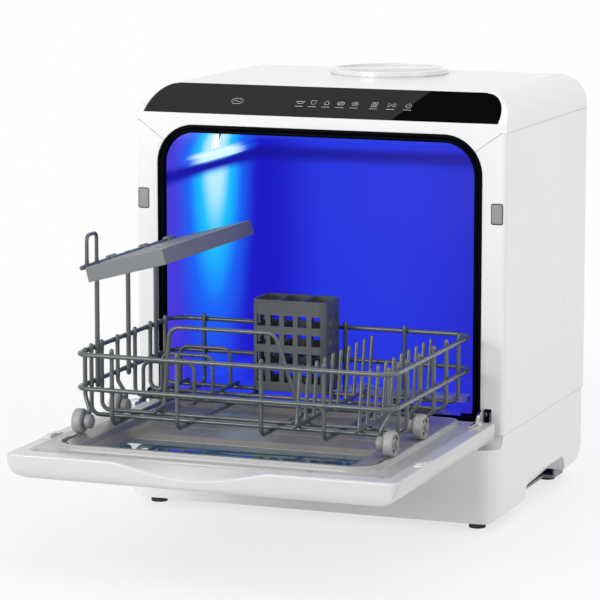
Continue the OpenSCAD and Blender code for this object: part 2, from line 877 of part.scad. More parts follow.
module spray_arm_post() {
    color("#d8dadd") place() translate([0, arm_y, 0]) difference() {
        union() {
            translate([0, 0, 36]) cylinder(h = tub_floor - 36 - tub_t - 0.05, r = 12);
            translate([0, 0, 36]) cylinder(h = tub_floor - 36 + 3, r = 7);
            translate([0, 0, 36]) cylinder(h = tub_floor - 36 + 15, r = 4);
            translate([0, 0, tub_floor + 15.4]) cylinder(h = 1.6, r = 6);
            translate([0, 0, tub_floor + 14]) cylinder(h = 2, r = 4);
        }
        translate([0, 0, 34]) cylinder(h = 60, r = 2.6);
    }
}

module spray_arm() {
    color("lightgray") place() translate([0, arm_y, tub_floor + 3 + gap]) difference() {
        union() {
            cylinder(h = 11, r = 15);
            // Two hollow blades with round tips
            for (s = [0, 180]) rotate(s) translate([0, 0, 2]) linear_extrude(7) {
                polygon([[0, -13], [arm_len - 9, -9], [arm_len - 9, 9], [0, 13]]);
                translate([arm_len - 9, 0]) circle(9);
            }
        }
        translate([0, 0, -1]) cylinder(h = 20, r = 4 + fit);
        for (s = [0, 180], k = [0:4])
            rotate(s) translate([34 + 19 * k, k % 2 == 0 ? 3 : -3, 6]) cylinder(h = 6, r = 1.6);
    }
}

module water_tank() {
    color("#e8edf0") place() {
        difference() {
            union() {
                translate([tank_x, 60, base_h + 1]) cube([24, 216, tank_z - base_h - 1]);
                // Neck at the top that takes the duct from the fill opening
                translate([tank_x + 12, cap_y, tank_z - 1]) cylinder(h = 21, r = 9);
            }
            translate([tank_x + 2, 62, base_h + 3]) cube([20, 212, tank_z - base_h - 5]);
            translate([tank_x + 12, cap_y, tank_z - 6]) cylinder(h = 40, r = 7);
        }
        // Foot that stands on the plinth
        translate([tank_x, 84, base_h + gap]) cube([24, 40, 7]);
    }
}

module fill_neck() {
    color("#e3e6e8") place() {
        translate([0, cap_y, tub_top + 4]) difference() {
            cylinder(h = cab_h - cap_t - 3 - tub_top - 4 - 0.05, r = cap_r - 6);
            translate([0, 0, 3]) cylinder(h = 60, r = cap_r - 8);
        }
        // Duct to the water tank
        difference() {
            translate([-half_w + wall + 3, cap_y - 12, tub_top + 4]) cube([half_w - cap_r - 4, 24, 12]);
            translate([0, cap_y, 0]) cylinder(h = 600, r = cap_r - 7);
        }
        translate([tank_x + 12, cap_y, tank_z + 20.1]) cylinder(h = tub_top + 5 - tank_z - 20.1, r = 9);
    }
}

module fill_cap() {
    color("#f4f6f7") place() translate([0, cap_y, 0]) {
        difference() {
            translate([0, 0, cab_h - cap_t + gap]) cylinder(h = cap_t - gap + cap_up, r = cap_r);
            // Shadow line under the rim
            translate([0, 0, cab_h - 0.5]) difference() {
                cylinder(h = 2, r = cap_r + 1);
                translate([0, 0, -1]) cylinder(h = 4, r = cap_r - 1.2);
            }
            // Dish on either side of the grip bar
            difference() {
                translate([0, 0, cab_h + 1]) cylinder(h = cap_up, r = cap_r - 6);
                rotate(cap_turn) translate([-cap_r, -9, cab_h - 10]) cube([2 * cap_r, 18, 30]);
            }
            translate([0, 0, cab_h - cap_t - 1]) cylinder(h = 4, r = cap_r - 12);
        }
        // Skirt that centres the cap in its seat
        translate([0, 0, cab_h - cap_t - 5]) difference() {
            cylinder(h = 7, r = cap_r - 8 - gap);
            translate([0, 0, -1]) cylinder(h = 9, r = cap_r - 12);
        }
    }
}

module cap_seal() {
    color("#9aa0a3") place() translate([0, cap_y, cab_h - cap_t]) difference() {
        cylinder(h = gap - 0.02, r = cap_r - 2);
        translate([0, 0, -1]) cylinder(h = 4, r = cap_r - 7);
    }
}

module drying_fan() {
    color("#3c3f43") place() translate([120, 120, tub_top + tub_t + 0.02]) {
        difference() {
            translate([-34, -34, 0]) cube([68, 68, 22]);
            translate([0, 0, 3]) cylinder(h = 40, r = 30);
        }
        translate([0, 0, 3]) cylinder(h = 15, r = 12);
        for (k = [0:6]) rotate(360 / 7 * k) translate([10, -1, 7]) cube([17, 2, 9]);
        for (k = [0:3]) rotate(90 * k + 6) translate([10, -1.5, 3]) cube([22, 3, 3]);
    }
}

// Rear spigot for the drain hose and the threaded stub for the water supply
module drain_spigot() {
    color("#2b2d30") place() {
        translate([spigot_x, cab_d - 30, port_z]) rotate([-90, 0, 0]) difference() {
            union() {
                cylinder(h = 30 + spigot_out, r = 8);
                translate([0, 0, 24]) cylinder(h = 8, r = 12);
                for (k = [0:2]) translate([0, 0, 37 + 4 * k]) cylinder(h = 1.6, r = 8.8);
            }
            translate([0, 0, 4]) cylinder(h = 60, r = 6);
        }
        // Hose to the drain pump
        bent_wire([[spigot_x, cab_d - 29, port_z], [spigot_x, hose_y, port_z - 12],
            [sump_x - 10, hose_y, 36], [sump_x + 2, hose_y, 36]], 14);
    }
}

module inlet_connector() {
    color("#d9dcde") place() translate([inlet_x, cab_d - 30, port_z]) rotate([-90, 0, 0]) difference() {
        union() {
            cylinder(h = 46, r = 10);
            translate([0, 0, 24]) cylinder(h = 8, r = 12);
            translate([-14, -12, 0]) cube([28, 24, 14]);
        }
        translate([0, 0, 10]) cylinder(h = 60, r = 6.5);
    }
}

module tub_lamp() {
    color("white") place() {
        translate([-tub_half - 6, lamp_y - 11.7, lamp_z - 7.7]) cube([5.8, 23.4, 15.4]);
        translate([-tub_half - 12, lamp_y - 16, lamp_z - 12]) cube([6, 32, 24]);
    }
}

// Door

// Body of the door drawn in by i: its plan, cut to the rounded sections of its sides and its nose
module door_body(i) {
    x = door_w / 2 - side_round;
    u = door_len - nose_round;
    intersection() {
        translate([0, (4 + door_len) / 2, -skin_v]) linear_extrude(skin_v + face_v - i)
            rrect(door_w - 2 * i, door_len - 4 - 2 * i, 6 - i);
        along_y(0, door_len) {
            translate([-door_w / 2 + i, side_round - skin_v])
                square([door_w - 2 * i, face_v + skin_v - side_round]);
            translate([-x, i - skin_v]) square([2 * x, face_v + skin_v - i]);
            for (s = [-1, 1]) translate([s * x, side_round - skin_v]) circle(side_round - i);
        }
        along_x(-door_w / 2, door_w / 2) {
            translate([0, i - skin_v]) square([u, face_v + skin_v - i]);
            translate([0, nose_round - skin_v]) square([door_len - i, face_v + skin_v - nose_round]);
            translate([u, nose_round - skin_v]) circle(nose_round - i);
        }
    }
}

// Window hole in the door, grown by g
module window_hole(g, r) {
    translate([0, window_u]) rrect(window_w + 2 * g, window_h + 2 * g, r + g);
}

// Grip scoop that slopes down to the free edge, grown by g
module scoop(g) {
    steps = 32;
    w = scoop_w / 2 + 2 * g;
    translate([scoop_x, door_len, face_v]) rotate([-atan2(scoop_d, scoop_l), 0, 0]) along_y(-60, 30)
        polygon([for (k = [0:steps]) let(t = 2 * k / steps - 1) [t * w, -(scoop_d + g) * pow(1 - t * t, 1.3)],
            [w, 60], [-w, 60]]);
}

// Clearance round a hinge pin and its ear
module hinge_pocket() {
    both_sides() translate([slot_x - 2.1, 0, -skin_v + 3]) cube([16, 24, 40]);
}

module door_panel() {
    color("whitesmoke") place() on_door() difference() {
        door_body(0);
        difference() {
            door_body(wall);
            scoop(wall);
        }
        // Mouth that the liner fills
        translate([0, (16 + door_len - 20) / 2, 0]) linear_extrude(40)
            rrect(liner_seat_w, door_len - 36, 8);
        translate([0, 0, -skin_v - 1]) linear_extrude(20) window_hole(-6, 10);
        scoop(0);
        hinge_pocket();
        // Slots for the latch hooks
        both_sides() translate([hook_x - 5.2, hook_u - 16, 0]) cube([10.4, 32, 40]);
    }
}

// Outline of the liner's raised frame, drawn in by i, with its large corners at the free edge
module liner_outline(i) {
    x = liner_x - i;
    u0 = liner_u0 + i;
    u1 = liner_u1 - i;
    r = liner_r - i;
    rb = 16 - i;
    translate([-x, u0 + rb]) square([2 * x, u1 - r - u0 - rb]);
    translate([-x + rb, u0]) square([2 * (x - rb), u1 - r - u0]);
    translate([-x + r, u0 + rb]) square([2 * (x - r), u1 - u0 - rb]);
    for (s = [-1, 1]) {
        translate([s * (x - r), u1 - r]) circle(r);
        translate([s * (x - rb), u0 + rb]) circle(rb);
    }
}

// Sloping hollow in the liner, between half widths x0 and x1, from u0 to u1, from v0 up to v1
module hollow(x0, x1, u0, u1, run, v0, v1) {
    intersection() {
        along_y(u0 - run - 1, u1 + run + 1)
            polygon([[-x0, v0], [x0, v0], [x1, v1], [x1, v1 + 20], [-x1, v1 + 20], [-x1, v1]]);
        along_x(-x1 - 1, x1 + 1) polygon([[u0, v0], [u1, v0], [u1 + run, v1], [u1 + run, v1 + 20],
            [u0 - run, v1 + 20], [u0 - run, v1]]);
    }
}

module door_liner() {
    top = face_v + rail_v;
    rail_x = liner_x - rail_w;
    win_u0 = window_u - window_h / 2;
    win_u1 = window_u + window_h / 2;
    color("lightgray") place() on_door() {
        difference() {
            union() {
                // Flat plate that closes the door's inside
                translate([0, (16 + door_len - 20) / 2, face_v - 4]) linear_extrude(4)
                    rrect(liner_seat_w - 2 * gap, door_len - 36 - 2 * gap, 8 - gap);
                // Raised frame that reaches into the seal
                translate([0, 0, face_v - 4]) linear_extrude(rail_v + 4) liner_outline(0);
                // Lip round the free edge
                translate([0, 0, face_v]) linear_extrude(rail_v + lip_v) intersection() {
                    liner_outline(0);
                    translate([-half_w, liner_u1 - 44]) square([cab_w, 60]);
                }
                // Thicker field round the window
                translate([0, window_u, face_v - 9]) linear_extrude(9)
                    rrect(window_w + 30, window_h + 20, 12);
            }
            // Inside of the lip
            translate([0, 0, top]) linear_extrude(20) liner_outline(3.5);
            // Sunk field and the bowl of the window
            hollow(rail_x - 4, rail_x, liner_u0 + 18, liner_u1 - 17, 4, face_v, top);
            hollow(window_w / 2, rail_x - 6, win_u0, win_u1, 3, face_v - 5.5, face_v + 0.05);
            hollow(rail_x - 6, rail_x - 4, liner_u0 + 40, win_u1 + 2, 1, face_v - 1.5, face_v + 0.05);
            translate([0, 0, -20]) linear_extrude(40) window_hole(0, 6);
            // Pockets that stop the wheels on the rails
            both_sides() translate([liner_x - 6.5, liner_u1 - 35, top - 2]) linear_extrude(20) rrect(5, 44, 2.4);
            for (x = screw_places) translate([x, screw_u, 0]) {
                cylinder(h = 40, r = 1.4 + fit);
                translate([0, 0, face_v - 1.6]) cylinder(h = 40, r = 2.9);
            }
            scoop(0);
            hinge_pocket();
        }
        // Crosswise beads on the sunk field
        for (u = [70:22:136]) translate([-rail_x + 12, u, face_v - 1.6]) cube([2 * rail_x - 24, 4, 2]);
    }
}

module window_pane() {
    color("#2c6f86") place() on_door() translate([0, 0, face_v - 13.6]) linear_extrude(3) window_hole(5, 8);
}

module window_seal() {
    color("black") place() on_door() translate([0, 0, face_v - 10.5]) linear_extrude(1.4) difference() {
        window_hole(6, 8);
        window_hole(-1, 6);
    }
}

module outer_pane() {
    color("#20303a") place() on_door() translate([0, 0, -skin_v + wall + 0.1]) linear_extrude(3)
        window_hole(2, 10);
}

module latch_hooks() {
    color("white") place() on_door() both_sides() {
        translate([hook_x - 4.9, hook_u - 15, 2]) cube([9.8, 30, face_v - 2]);
        translate([hook_x - 3.2, hook_u - 6, face_v - 0.1]) difference() {
            cube([6.4, 12, 8]);
            translate([-1, -2, 3]) rotate([35, 0, 0]) translate([0, -8, 0]) cube([10, 8, 12]);
        }
    }
}

module hinge_arms() {
    color("silver") place() on_door() both_sides() difference() {
        along_x(arm_x - 1.5, arm_x + 1.5) {
            circle(7);
            intersection() {
                difference() {
                    circle(22);
                    circle(16.5);
                }
                polygon([[0, 0], [60, 30], [60, 60], [-60, 60]]);
            }
            intersection() {
                circle(18);
                polygon([[-3, 0], [-3, 30], [4, 30], [6, 0]]);
            }
            translate([14, face_v + 0.05]) square([30, 2.4]);
        }
        translate([arm_x - 5, 0, 0]) rotate([0, 90, 0]) cylinder(h = 10, r = pin_r + fit);
    }
}

module door_screws() {
    color("silver") place() on_door()
        for (x = screw_places) translate([x, screw_u, face_v - 6]) {
            cylinder(h = 5, r = 1.4);
            translate([0, 0, 4.42]) cylinder(h = 1.4, r = 2.6);
        }
}

// Wheels and axles

module front_axles() {
    color("silver") place() on_basket() both_sides() axle_pin();
}

module axle_pin() {
    translate([wheel_x - 20, 0, 0]) rotate([0, 90, 0]) cylinder(h = 20 + wheel_w / 2 + 1, r = pin_r);
    translate([wheel_x + wheel_w / 2 + 0.6, 0, 0]) rotate([0, 90, 0]) cylinder(h = 1.2, r = 4);
    translate([wheel_x - 21, 0, 0]) rotate([0, 90, 0]) cylinder(h = 1.2, r = 4);
}

module rear_axles() {
    color("silver") place() on_basket() translate([0, wheelbase, 0]) both_sides() axle_pin();
}

// Wheel with a rounded tread, a dished face and five spokes; its axle is X
module wheel() {
    rotate([0, 90, 0]) difference() {
        rotate_extrude() difference() {
            union() {
                translate([0, -wheel_w / 2]) square([wheel_r - 2, wheel_w]);
                translate([0, -wheel_w / 2 + 2]) square([wheel_r, wheel_w - 4]);
                for (s = [-1, 1]) translate([wheel_r - 2, s * (wheel_w / 2 - 2)]) circle(2);
            }
            translate([-10, -20]) square([10 + pin_r + fit, 40]);
            translate([5, wheel_w / 2 - 2]) square([wheel_r - 8, 10]);
        }
        for (k = [0:4]) rotate(72 * k) translate([7.4, 0, 0]) cylinder(h = 20, r = 1.5);
    }
}

module front_wheel_left() {
    color("gray") place() on_basket() translate([-wheel_x, 0, 0]) mirror([1, 0, 0]) wheel();
}

module front_wheel_right() {
    color("gray") place() on_basket() translate([wheel_x, 0, 0]) wheel();
}

module rear_wheel_left() {
    color("gray") place() on_basket() translate([-wheel_x, wheelbase, 0]) mirror([1, 0, 0]) wheel();
}

module rear_wheel_right() {
    color("gray") place() on_basket() translate([wheel_x, wheelbase, 0]) wheel();
}

module wheel_brackets() {
    color("#6d7173") place() on_basket() both_sides() for (a = [0, wheelbase]) translate([0, a, 0]) difference() {
        union() {
            translate([bracket_x - 9, 0, 0]) rotate([0, 90, 0]) cylinder(h = 9, r = 7.5);
            translate([bracket_x - 9, -4, 0]) cube([9, 8, strut_foot]);
        }
        translate([bracket_x - 20, 0, 0]) rotate([0, 90, 0]) cylinder(h = 40, r = pin_r + fit);
    }
}

// Basket

module basket_rims() {
    color("#4a5252") place() on_basket() for (z = [rim_lo, rim_hi])
        translate([0, rim_l / 2 - rim_front, z]) wire_loop(rim_w, rim_l, rim_r, rim_d);
}

module lengthwise_wires() {
    color("#4a5252") place() on_basket()
        for (x = [-133, -61, 30, 97]) translate([x, (upright_a + rear_upright_a) / 2, floor_z])
            rotate(90) u_wire(rear_upright_a - upright_a, rim_hi - floor_z + 5, bend_r, wire_d);
}

module crosswise_wires() {
    color("#4a5252") place() on_basket() for (a = cross_places) translate([0, a, cross_z])
        u_wire(2 * upright_x, rim_hi - cross_z + 5, bend_r, wire_d);
}

// Struts that carry the wheel brackets from the rims
module wheel_struts() {
    color("#4a5252") place() on_basket() both_sides() {
        strut([rim_x - rim_r + corner_in, rim_r - rim_front - corner_in, 26],
            [bracket_x - 4.5, 0, strut_foot + 3]);
        strut([upright_x, wheelbase, 26], [bracket_x - 4.5, wheelbase, strut_foot + 3]);
    }
}

// Strut that runs down from the rims to its bend, then inward to its foot
module strut(bend, foot) {
    rod(bend, [bend[0], bend[1], rim_hi + 4], wire_d);
    knee(bend, wire_d);
    rod(bend, foot, wire_d);
    knee(foot, wire_d);
    translate([foot[0], foot[1], strut_foot]) cylinder(h = 3, d = wire_d);
}

module plate_tines() {
    color("#4a5252") place() on_basket() for (x = [62, 128]) {
        rod([x, 12, rest_z], [x, 236, rest_z], 4);
        for (a = [18:24:234])
            translate([x, a, rest_z]) rotate([-10, 0, 0]) tine(58, 4);
    }
}

// Bent wire loops that hold cups, and the big loop behind the front row
module cup_loops() {
    color("#4a5252") place() on_basket() {
        translate([0, 62, rest_z]) {
            bent_wire([[-101, -24, 0], [-101, 0, 0], [-95, 0, 74], [-93, 0, 81], [-88, 0, 84.5], [12, 0, 84.5],
                [20, 0, 81], [25, 0, 74], [51, 0, 0], [51, -24, 0]], wire_d);
        }
        for (a = [100, 150, 200]) translate([-112, a, rest_z + 40]) mirror([0, 0, 1])
            u_wire(58, 41, bend_r, 4);
        for (x = [-141, -83]) rod([x, 92, rest_z], [x, 222, rest_z], 4);
    }
}

module shelf_posts() {
    hook_a = post_places[0];
    color("#4a5252") place() on_basket() {
        for (a = post_places) rod([rod_x, a, rim_lo - 4], [rod_x, a, shelf_z], rim_d);
        rod([rod_x, 2, shelf_z], [rod_x, 248, shelf_z], rim_d);
        // Stop loop at the front end
        translate([rod_x, hook_a - 12, shelf_z + 32]) mirror([0, 0, 1]) rotate(90) u_wire(24, 32, 6, 4);
    }
}

module cup_shelf() {
    color("#6b7173") place() on_basket() translate([rod_x, 6, shelf_z]) rotate([0, -shelf_tilt, 0]) {
        difference() {
            translate([3, 0, -shelf_t]) cube([shelf_w, shelf_l - 4, shelf_t]);
            translate([5.5, 2.5, -shelf_t - 2]) cube([shelf_w - 5, shelf_l - 9, shelf_t]);
            // Drain slots in three rows
            for (row = [0:2], k = [0:9])
                translate([11 + row * (shelf_w - 14) / 3, 10 + k * (shelf_l - 30) / 10, -20])
                    cube([(shelf_w - 26) / 3, 10, 60]);
            // Notch that clears the stop loop
            translate([0, post_places[0] - 36, -40]) cube([8, 38, 60]);
        }
        // Knuckles round the hinge rod
        for (a = [66, 150, 216]) translate([0, a, 0]) difference() {
            union() {
                rotate([-90, 0, 0]) cylinder(h = 14, r = 4.5);
                translate([0, 0, -4]) cube([5, 14, 4]);
            }
            translate([0, -5, 0]) rotate([-90, 0, 0]) cylinder(h = 30, r = rim_d / 2 + fit);
        }
    }
}

module cutlery_holder() {
    z0 = cross_z + wire_d / 2 + 0.1;
    color("#53595b") place() on_basket() translate([cutlery_x, cutlery_a, z0]) difference() {
        translate([0, 0, 0]) linear_extrude(cutlery_h) rrect(cutlery_w, cutlery_d, 8);
        for (i = [-1:1]) translate([i * (cutlery_w - 4) / 3, 0, 2])
            linear_extrude(cutlery_h) rrect((cutlery_w - 4) / 3 - 2, cutlery_d - 4, 5);
        // Windows in the walls, in rows
        for (z = [10:20:cutlery_h - 20], x = [-2:2]) translate([x * 15.5 - 5, -50, z]) cube([10, 100, 12]);
        for (z = [10:20:cutlery_h - 20], y = [-1, 1]) translate([-60, y * 9 - 4, z]) cube([120, 8, 12]);
    }
}

base_pan();
base_shell();
feet();
front_frame();
side_panel_left();
side_panel_right();
top_cover();
control_panel();
control_board();
back_cover();
tub();
door_gasket();
door_catches();
hinge_brackets();
sump();
filter_plate();
filter_cup();
wash_pump();
drain_pump();
heater();
spray_arm_post();
spray_arm();
water_tank();
fill_neck();
fill_cap();
cap_seal();
drying_fan();
drain_spigot();
inlet_connector();
tub_lamp();
door_panel();
door_liner();
window_pane();
window_seal();
outer_pane();
latch_hooks();
hinge_arms();
door_screws();
front_axles();
front_wheel_left();
front_wheel_right();
rear_wheel_left();
rear_wheel_right();
wheel_brackets();
rear_axles();
basket_rims();
lengthwise_wires();
crosswise_wires();
wheel_struts();
plate_tines();
cup_loops();
shelf_posts();
cup_shelf();
cutlery_holder();
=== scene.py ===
"""A countertop dishwasher, its door folded down and its basket rolled out, dressed over its CAD frame.

The row frame is in metres, +Z up. The door opens towards -Y and +X is the machine's right side.
Piece sizes below are in millimetres in the machine's own frame, whose y = 0 is the front frame's plane.
"""

import json
from math import atan2, cos, pi, radians, sin

import bmesh
import bpy
import numpy as np
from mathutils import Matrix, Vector

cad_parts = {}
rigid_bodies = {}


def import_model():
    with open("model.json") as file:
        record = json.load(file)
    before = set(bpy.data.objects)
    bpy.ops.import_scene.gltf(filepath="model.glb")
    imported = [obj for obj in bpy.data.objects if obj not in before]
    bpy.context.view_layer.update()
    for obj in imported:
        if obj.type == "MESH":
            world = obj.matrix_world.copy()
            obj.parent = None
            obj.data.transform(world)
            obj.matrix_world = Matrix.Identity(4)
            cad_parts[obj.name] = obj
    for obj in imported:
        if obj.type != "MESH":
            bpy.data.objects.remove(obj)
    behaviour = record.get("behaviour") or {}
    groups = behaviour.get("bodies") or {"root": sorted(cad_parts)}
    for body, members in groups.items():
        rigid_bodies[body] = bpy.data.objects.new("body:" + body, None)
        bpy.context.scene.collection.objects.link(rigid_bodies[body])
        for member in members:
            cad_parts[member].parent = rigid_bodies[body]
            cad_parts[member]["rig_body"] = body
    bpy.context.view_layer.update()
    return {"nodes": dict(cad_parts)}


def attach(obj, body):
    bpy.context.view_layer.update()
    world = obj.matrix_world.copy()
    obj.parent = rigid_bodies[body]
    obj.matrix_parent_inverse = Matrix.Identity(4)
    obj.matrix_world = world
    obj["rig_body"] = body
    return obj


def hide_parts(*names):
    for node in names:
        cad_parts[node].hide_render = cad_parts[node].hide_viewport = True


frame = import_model()
nodes = frame["nodes"]


# Plinth
# The lower housing is moulded in white ABS with a grip hollow in each side. A grey pan closes it
# underneath and four rubber feet carry it.
class Sock:
    """A node output that takes part in arithmetic, so that shader maths reads as a formula."""

    def __init__(self, tree, out):
        self.tree = tree
        self.out = out

    def _math(self, operation, *values):
        return self.tree.node("ShaderNodeMath", *values, operation=operation)

    def __add__(self, other):
        return self._math("ADD", self, other)

    def __radd__(self, other):
        return self._math("ADD", other, self)

    def __sub__(self, other):
        return self._math("SUBTRACT", self, other)

    def __rsub__(self, other):
        return self._math("SUBTRACT", other, self)

    def __mul__(self, other):
        return self._math("MULTIPLY", self, other)

    def __rmul__(self, other):
        return self._math("MULTIPLY", other, self)

    def __pow__(self, other):
        return self._math("POWER", self, other)

    def band(self, low, high):
        """0 at low, 1 at high and a smooth ramp between."""
        return self.tree.node(
            "ShaderNodeMapRange", self, low, high, 0.0, 1.0, interpolation_type="SMOOTHSTEP"
        )


class Finish:
    """A material with its Principled shader and the few node calls that this script needs."""

    def __init__(self, name, color, rough, metallic=0.0, **sockets):
        self.material = bpy.data.materials.new(name)
        self.material.use_nodes = True
        self.nodes = self.material.node_tree.nodes
        self.links = self.material.node_tree.links
        self.shader = self.nodes["Principled BSDF"]
        self.set(Base_Color=color, Roughness=rough, Metallic=metallic, **sockets)

    def set(self, **sockets):
        """Sets or links sockets of the shader; an underscore in a name stands for a space."""
        for name, value in sockets.items():
            self.plug(self.shader.inputs[name.replace("_", " ")], value)

    def plug(self, socket, value):
        """Links a socket to a node's output, or gives it a plain value."""
        if isinstance(value, Sock):
            self.links.new(value.out, socket)
        elif isinstance(value, (tuple, list)) and len(value) == 3 and socket.type == "RGBA":
            socket.default_value = (*value, 1.0)
        else:
            socket.default_value = value

    def node(self, kind, *values, output=0, **settings):
        """Adds a node, sets its properties, fills its inputs in order and returns one output."""
        made = self.nodes.new(kind)
        inputs = {k: v for k, v in settings.items() if k[0].isupper()}
        for key, value in settings.items():
            if key not in inputs:
                setattr(made, key, value)
        for socket, value in zip(made.inputs, values):
            self.plug(socket, value)
        for key, value in inputs.items():
            self.plug(made.inputs[key.replace("_", " ")], value)
        return Sock(self, made.outputs[output])

    def place(self, scale=(1.0, 1.0, 1.0)):
        """Object coordinates, stretched by scale."""
        spot = self.node("ShaderNodeTexCoord", output=3)
        return self.node("ShaderNodeMapping", spot, Scale=scale)

    def away(self, centre):
        """Distance from a point of the row frame, in metres."""
        return self.node(
            "ShaderNodeVectorMath", self.place(), centre, operation="DISTANCE", output=1
        )

    def axes(self):
        """The three object coordinates as separate values."""
        split = self.nodes.new("ShaderNodeSeparateXYZ")
        self.plug(split.inputs[0], self.place())
        return [Sock(self, split.outputs[k]) for k in range(3)]

    def noise(self, scale, detail=3.0, stretch=(1.0, 1.0, 1.0)):
        """Soft noise over the object coordinates, scale cells to the metre."""
        return self.node("ShaderNodeTexNoise", Vector=self.place(stretch), Scale=scale, Detail=detail)

    def mix(self, factor, a, b):
        """Colour a where factor is 0 and b where it is 1."""
        made = self.nodes.new("ShaderNodeMix")
        made.data_type = "RGBA"
        self.plug(made.inputs["Factor"], factor)
        self.plug(made.inputs[6], a)
        self.plug(made.inputs[7], b)
        return Sock(self, made.outputs[2])

    def bump(self, height, distance):
        """Raises the surface by up to distance, in metres, where height is 1."""
        self.set(Normal=self.node("ShaderNodeBump", Distance=distance, Height=height))


def moulded(name, color, rough, grain=0.00003, fine=900.0, shade=0.04, **sockets):
    """Moulded plastic. The bump is grain times a fine noise and twice a slow one; another slow noise
    darkens the colour by up to shade and moves the roughness by 0.06 to either side."""
    plastic = Finish(name, color, rough, **sockets)
    cloud = plastic.noise(7.0, 4.0)
    darker = tuple(c * (1.0 - shade) for c in color)
    plastic.set(Base_Color=plastic.mix(cloud.band(0.3, 0.75), color, darker))
    plastic.set(Roughness=cloud * 0.12 + (rough - 0.06))
    plastic.bump(plastic.noise(fine, 2.0) + 2.0 * plastic.noise(14.0, 2.0), grain)
    return plastic


def carry(piece, finish, *stands_for):
    """Gives a finished piece its material and the body of the nodes it stands for, and hides those nodes.
    """
    piece.data.materials.clear()
    piece.data.materials.append(finish.material)
    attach(piece, nodes[stands_for[0]]["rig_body"])
    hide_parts(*stands_for)
    return piece


# Points this close are one (m), faces this flat are one, and edges sharper than this are eased
MERGE, FLAT, SHARP = 3e-6, radians(0.3), radians(30)
MANY_CORNERS = 40


def eased(finish, ease, names, segments=2):
    """Each CAD solid again with its edges eased: flat triangles merge into faces, those with very many
    corners are cut again, and sharp edges get a round of width ease, in mm."""
    for name in names.split():
        solid = bmesh.new()
        solid.from_mesh(nodes[name].data)
        bmesh.ops.remove_doubles(solid, verts=solid.verts, dist=MERGE)
        bmesh.ops.dissolve_limit(solid, angle_limit=FLAT, verts=solid.verts, edges=solid.edges)
        crowded = [face for face in solid.faces if len(face.verts) > MANY_CORNERS]
        bmesh.ops.triangulate(solid, faces=crowded, ngon_method="BEAUTY")
        mesh = bpy.data.meshes.new(name + "_eased")
        solid.to_mesh(mesh)
        solid.free()
        mesh.shade_smooth()
        piece = bpy.data.objects.new(name + "_eased", mesh)
        bpy.context.scene.collection.objects.link(piece)
        edge = piece.modifiers.new("eased edges", "BEVEL")
        edge.width = ease / 1000
        edge.segments = segments
        edge.limit_method = "ANGLE"
        edge.angle_limit = SHARP
        flat = piece.modifiers.new("flat faces stay flat", "WEIGHTED_NORMAL")
        flat.keep_sharp = True
        carry(piece, finish, name)


white = moulded(
    "white_moulding", (0.83, 0.83, 0.832), 0.3, shade=0.015, Coat_Weight=0.25, Coat_Roughness=0.12
)
eased(white, 0.8, "base_shell")
pan_grey = moulded("pan_grey", (0.30, 0.30, 0.305), 0.5, grain=0.00006)
eased(pan_grey, 0.5, "base_pan")
foot_rubber = moulded("foot_rubber", (0.012, 0.012, 0.013), 0.6, grain=0.00008)
eased(foot_rubber, 0.8, "feet", 3)

# Cabinet covers
# Two side panels, the roof hood and the inner front frame are white mouldings that meet in fine
# seams and mitres. The slotted back cover is the same plastic.
eased(white, 0.55, "side_panel_left side_panel_right top_cover front_frame back_cover")

# Control panel
# A black gloss slab on the roof's slope, printed with small pale marks: an oval start key and a row
# of programme marks over short bars. The circuit board lies behind it.
panel_black = Finish("panel_black", (0.012, 0.012, 0.013), 0.2, Specular_IOR_Level=0.0)
# Painted reflection: a slanting edge parts the paler left of the gloss from its black right
REFLECTION_SLOPE, REFLECTION_FROM = 1.08, 0.380
across, _, up = panel_black.axes()
painted_reflection = (across - up * REFLECTION_SLOPE + REFLECTION_FROM).band(0.002, -0.002)
panel_black.set(Base_Color=panel_black.mix(painted_reflection, (0.0032, 0.0032, 0.0034), (0.031, 0.031, 0.032)))
panel_black.set(Roughness=panel_black.noise(5.0).band(0.2, 0.9) * 0.06 + 0.15)
eased(panel_black, 0.4, "control_panel")
board_green = moulded("board_lacquer", (0.01, 0.08, 0.03), 0.35, grain=0.0001, fine=300.0, shade=0.4)
eased(board_green, 0.2, "control_board")

# The machine's frame starts this far behind the row frame's middle
FRONT_Y = 5.0
# Meeting faces that turn by more than this keep a sharp edge
CREASE = radians(50)


def grid_faces(rows, columns, rows_meet=False):
    """Quads of a grid whose columns close on themselves, and whose rows do if they meet."""
    i = np.arange(rows if rows_meet else rows - 1)[:, None]
    j = np.arange(columns)[None, :]
    below, beside = (i + 1) % rows, (j + 1) % columns
    corners = (i * columns + j, below * columns + j, below * columns + beside, i * columns + beside)
    return np.stack([c + 0 * (i + j) for c in corners], -1).reshape(-1, 4)


def capped(rows, columns):
    """Faces of a grid of closed rows, with one more over the first row and one over the last."""
    last = (rows - 1) * columns
    ends = [list(range(columns)), list(range(last + columns - 1, last - 1, -1))]
    return grid_faces(rows, columns).tolist() + ends


def surface(name, parts, finish, *stands_for):
    """One mesh from parts of (points in machine mm, list of faces), moved to the row frame."""
    points, faces = [], []
    for part_points, part_faces in parts:
        first = sum(len(p) for p in points)
        points.append(np.asarray(part_points, float).reshape(-1, 3))
        faces += [[first + k for k in face] for face in part_faces]
    joined = (np.concatenate(points) + [0.0, FRONT_Y, 0.0]) / 1000
    mesh = bpy.data.meshes.new(name)
    mesh.from_pydata(joined.tolist(), [], faces)
    skin = bmesh.new()
    skin.from_mesh(mesh)
    bmesh.ops.recalc_face_normals(skin, faces=skin.faces)
    skin.to_mesh(mesh)
    skin.free()
    mesh.shade_smooth()
    mesh.set_sharp_from_angle(angle=CREASE)
    piece = bpy.data.objects.new(name, mesh)
    bpy.context.scene.collection.objects.link(piece)
    if stands_for:
        return carry(piece, finish, *stands_for)
    mesh.materials.append(finish.material)
    return piece


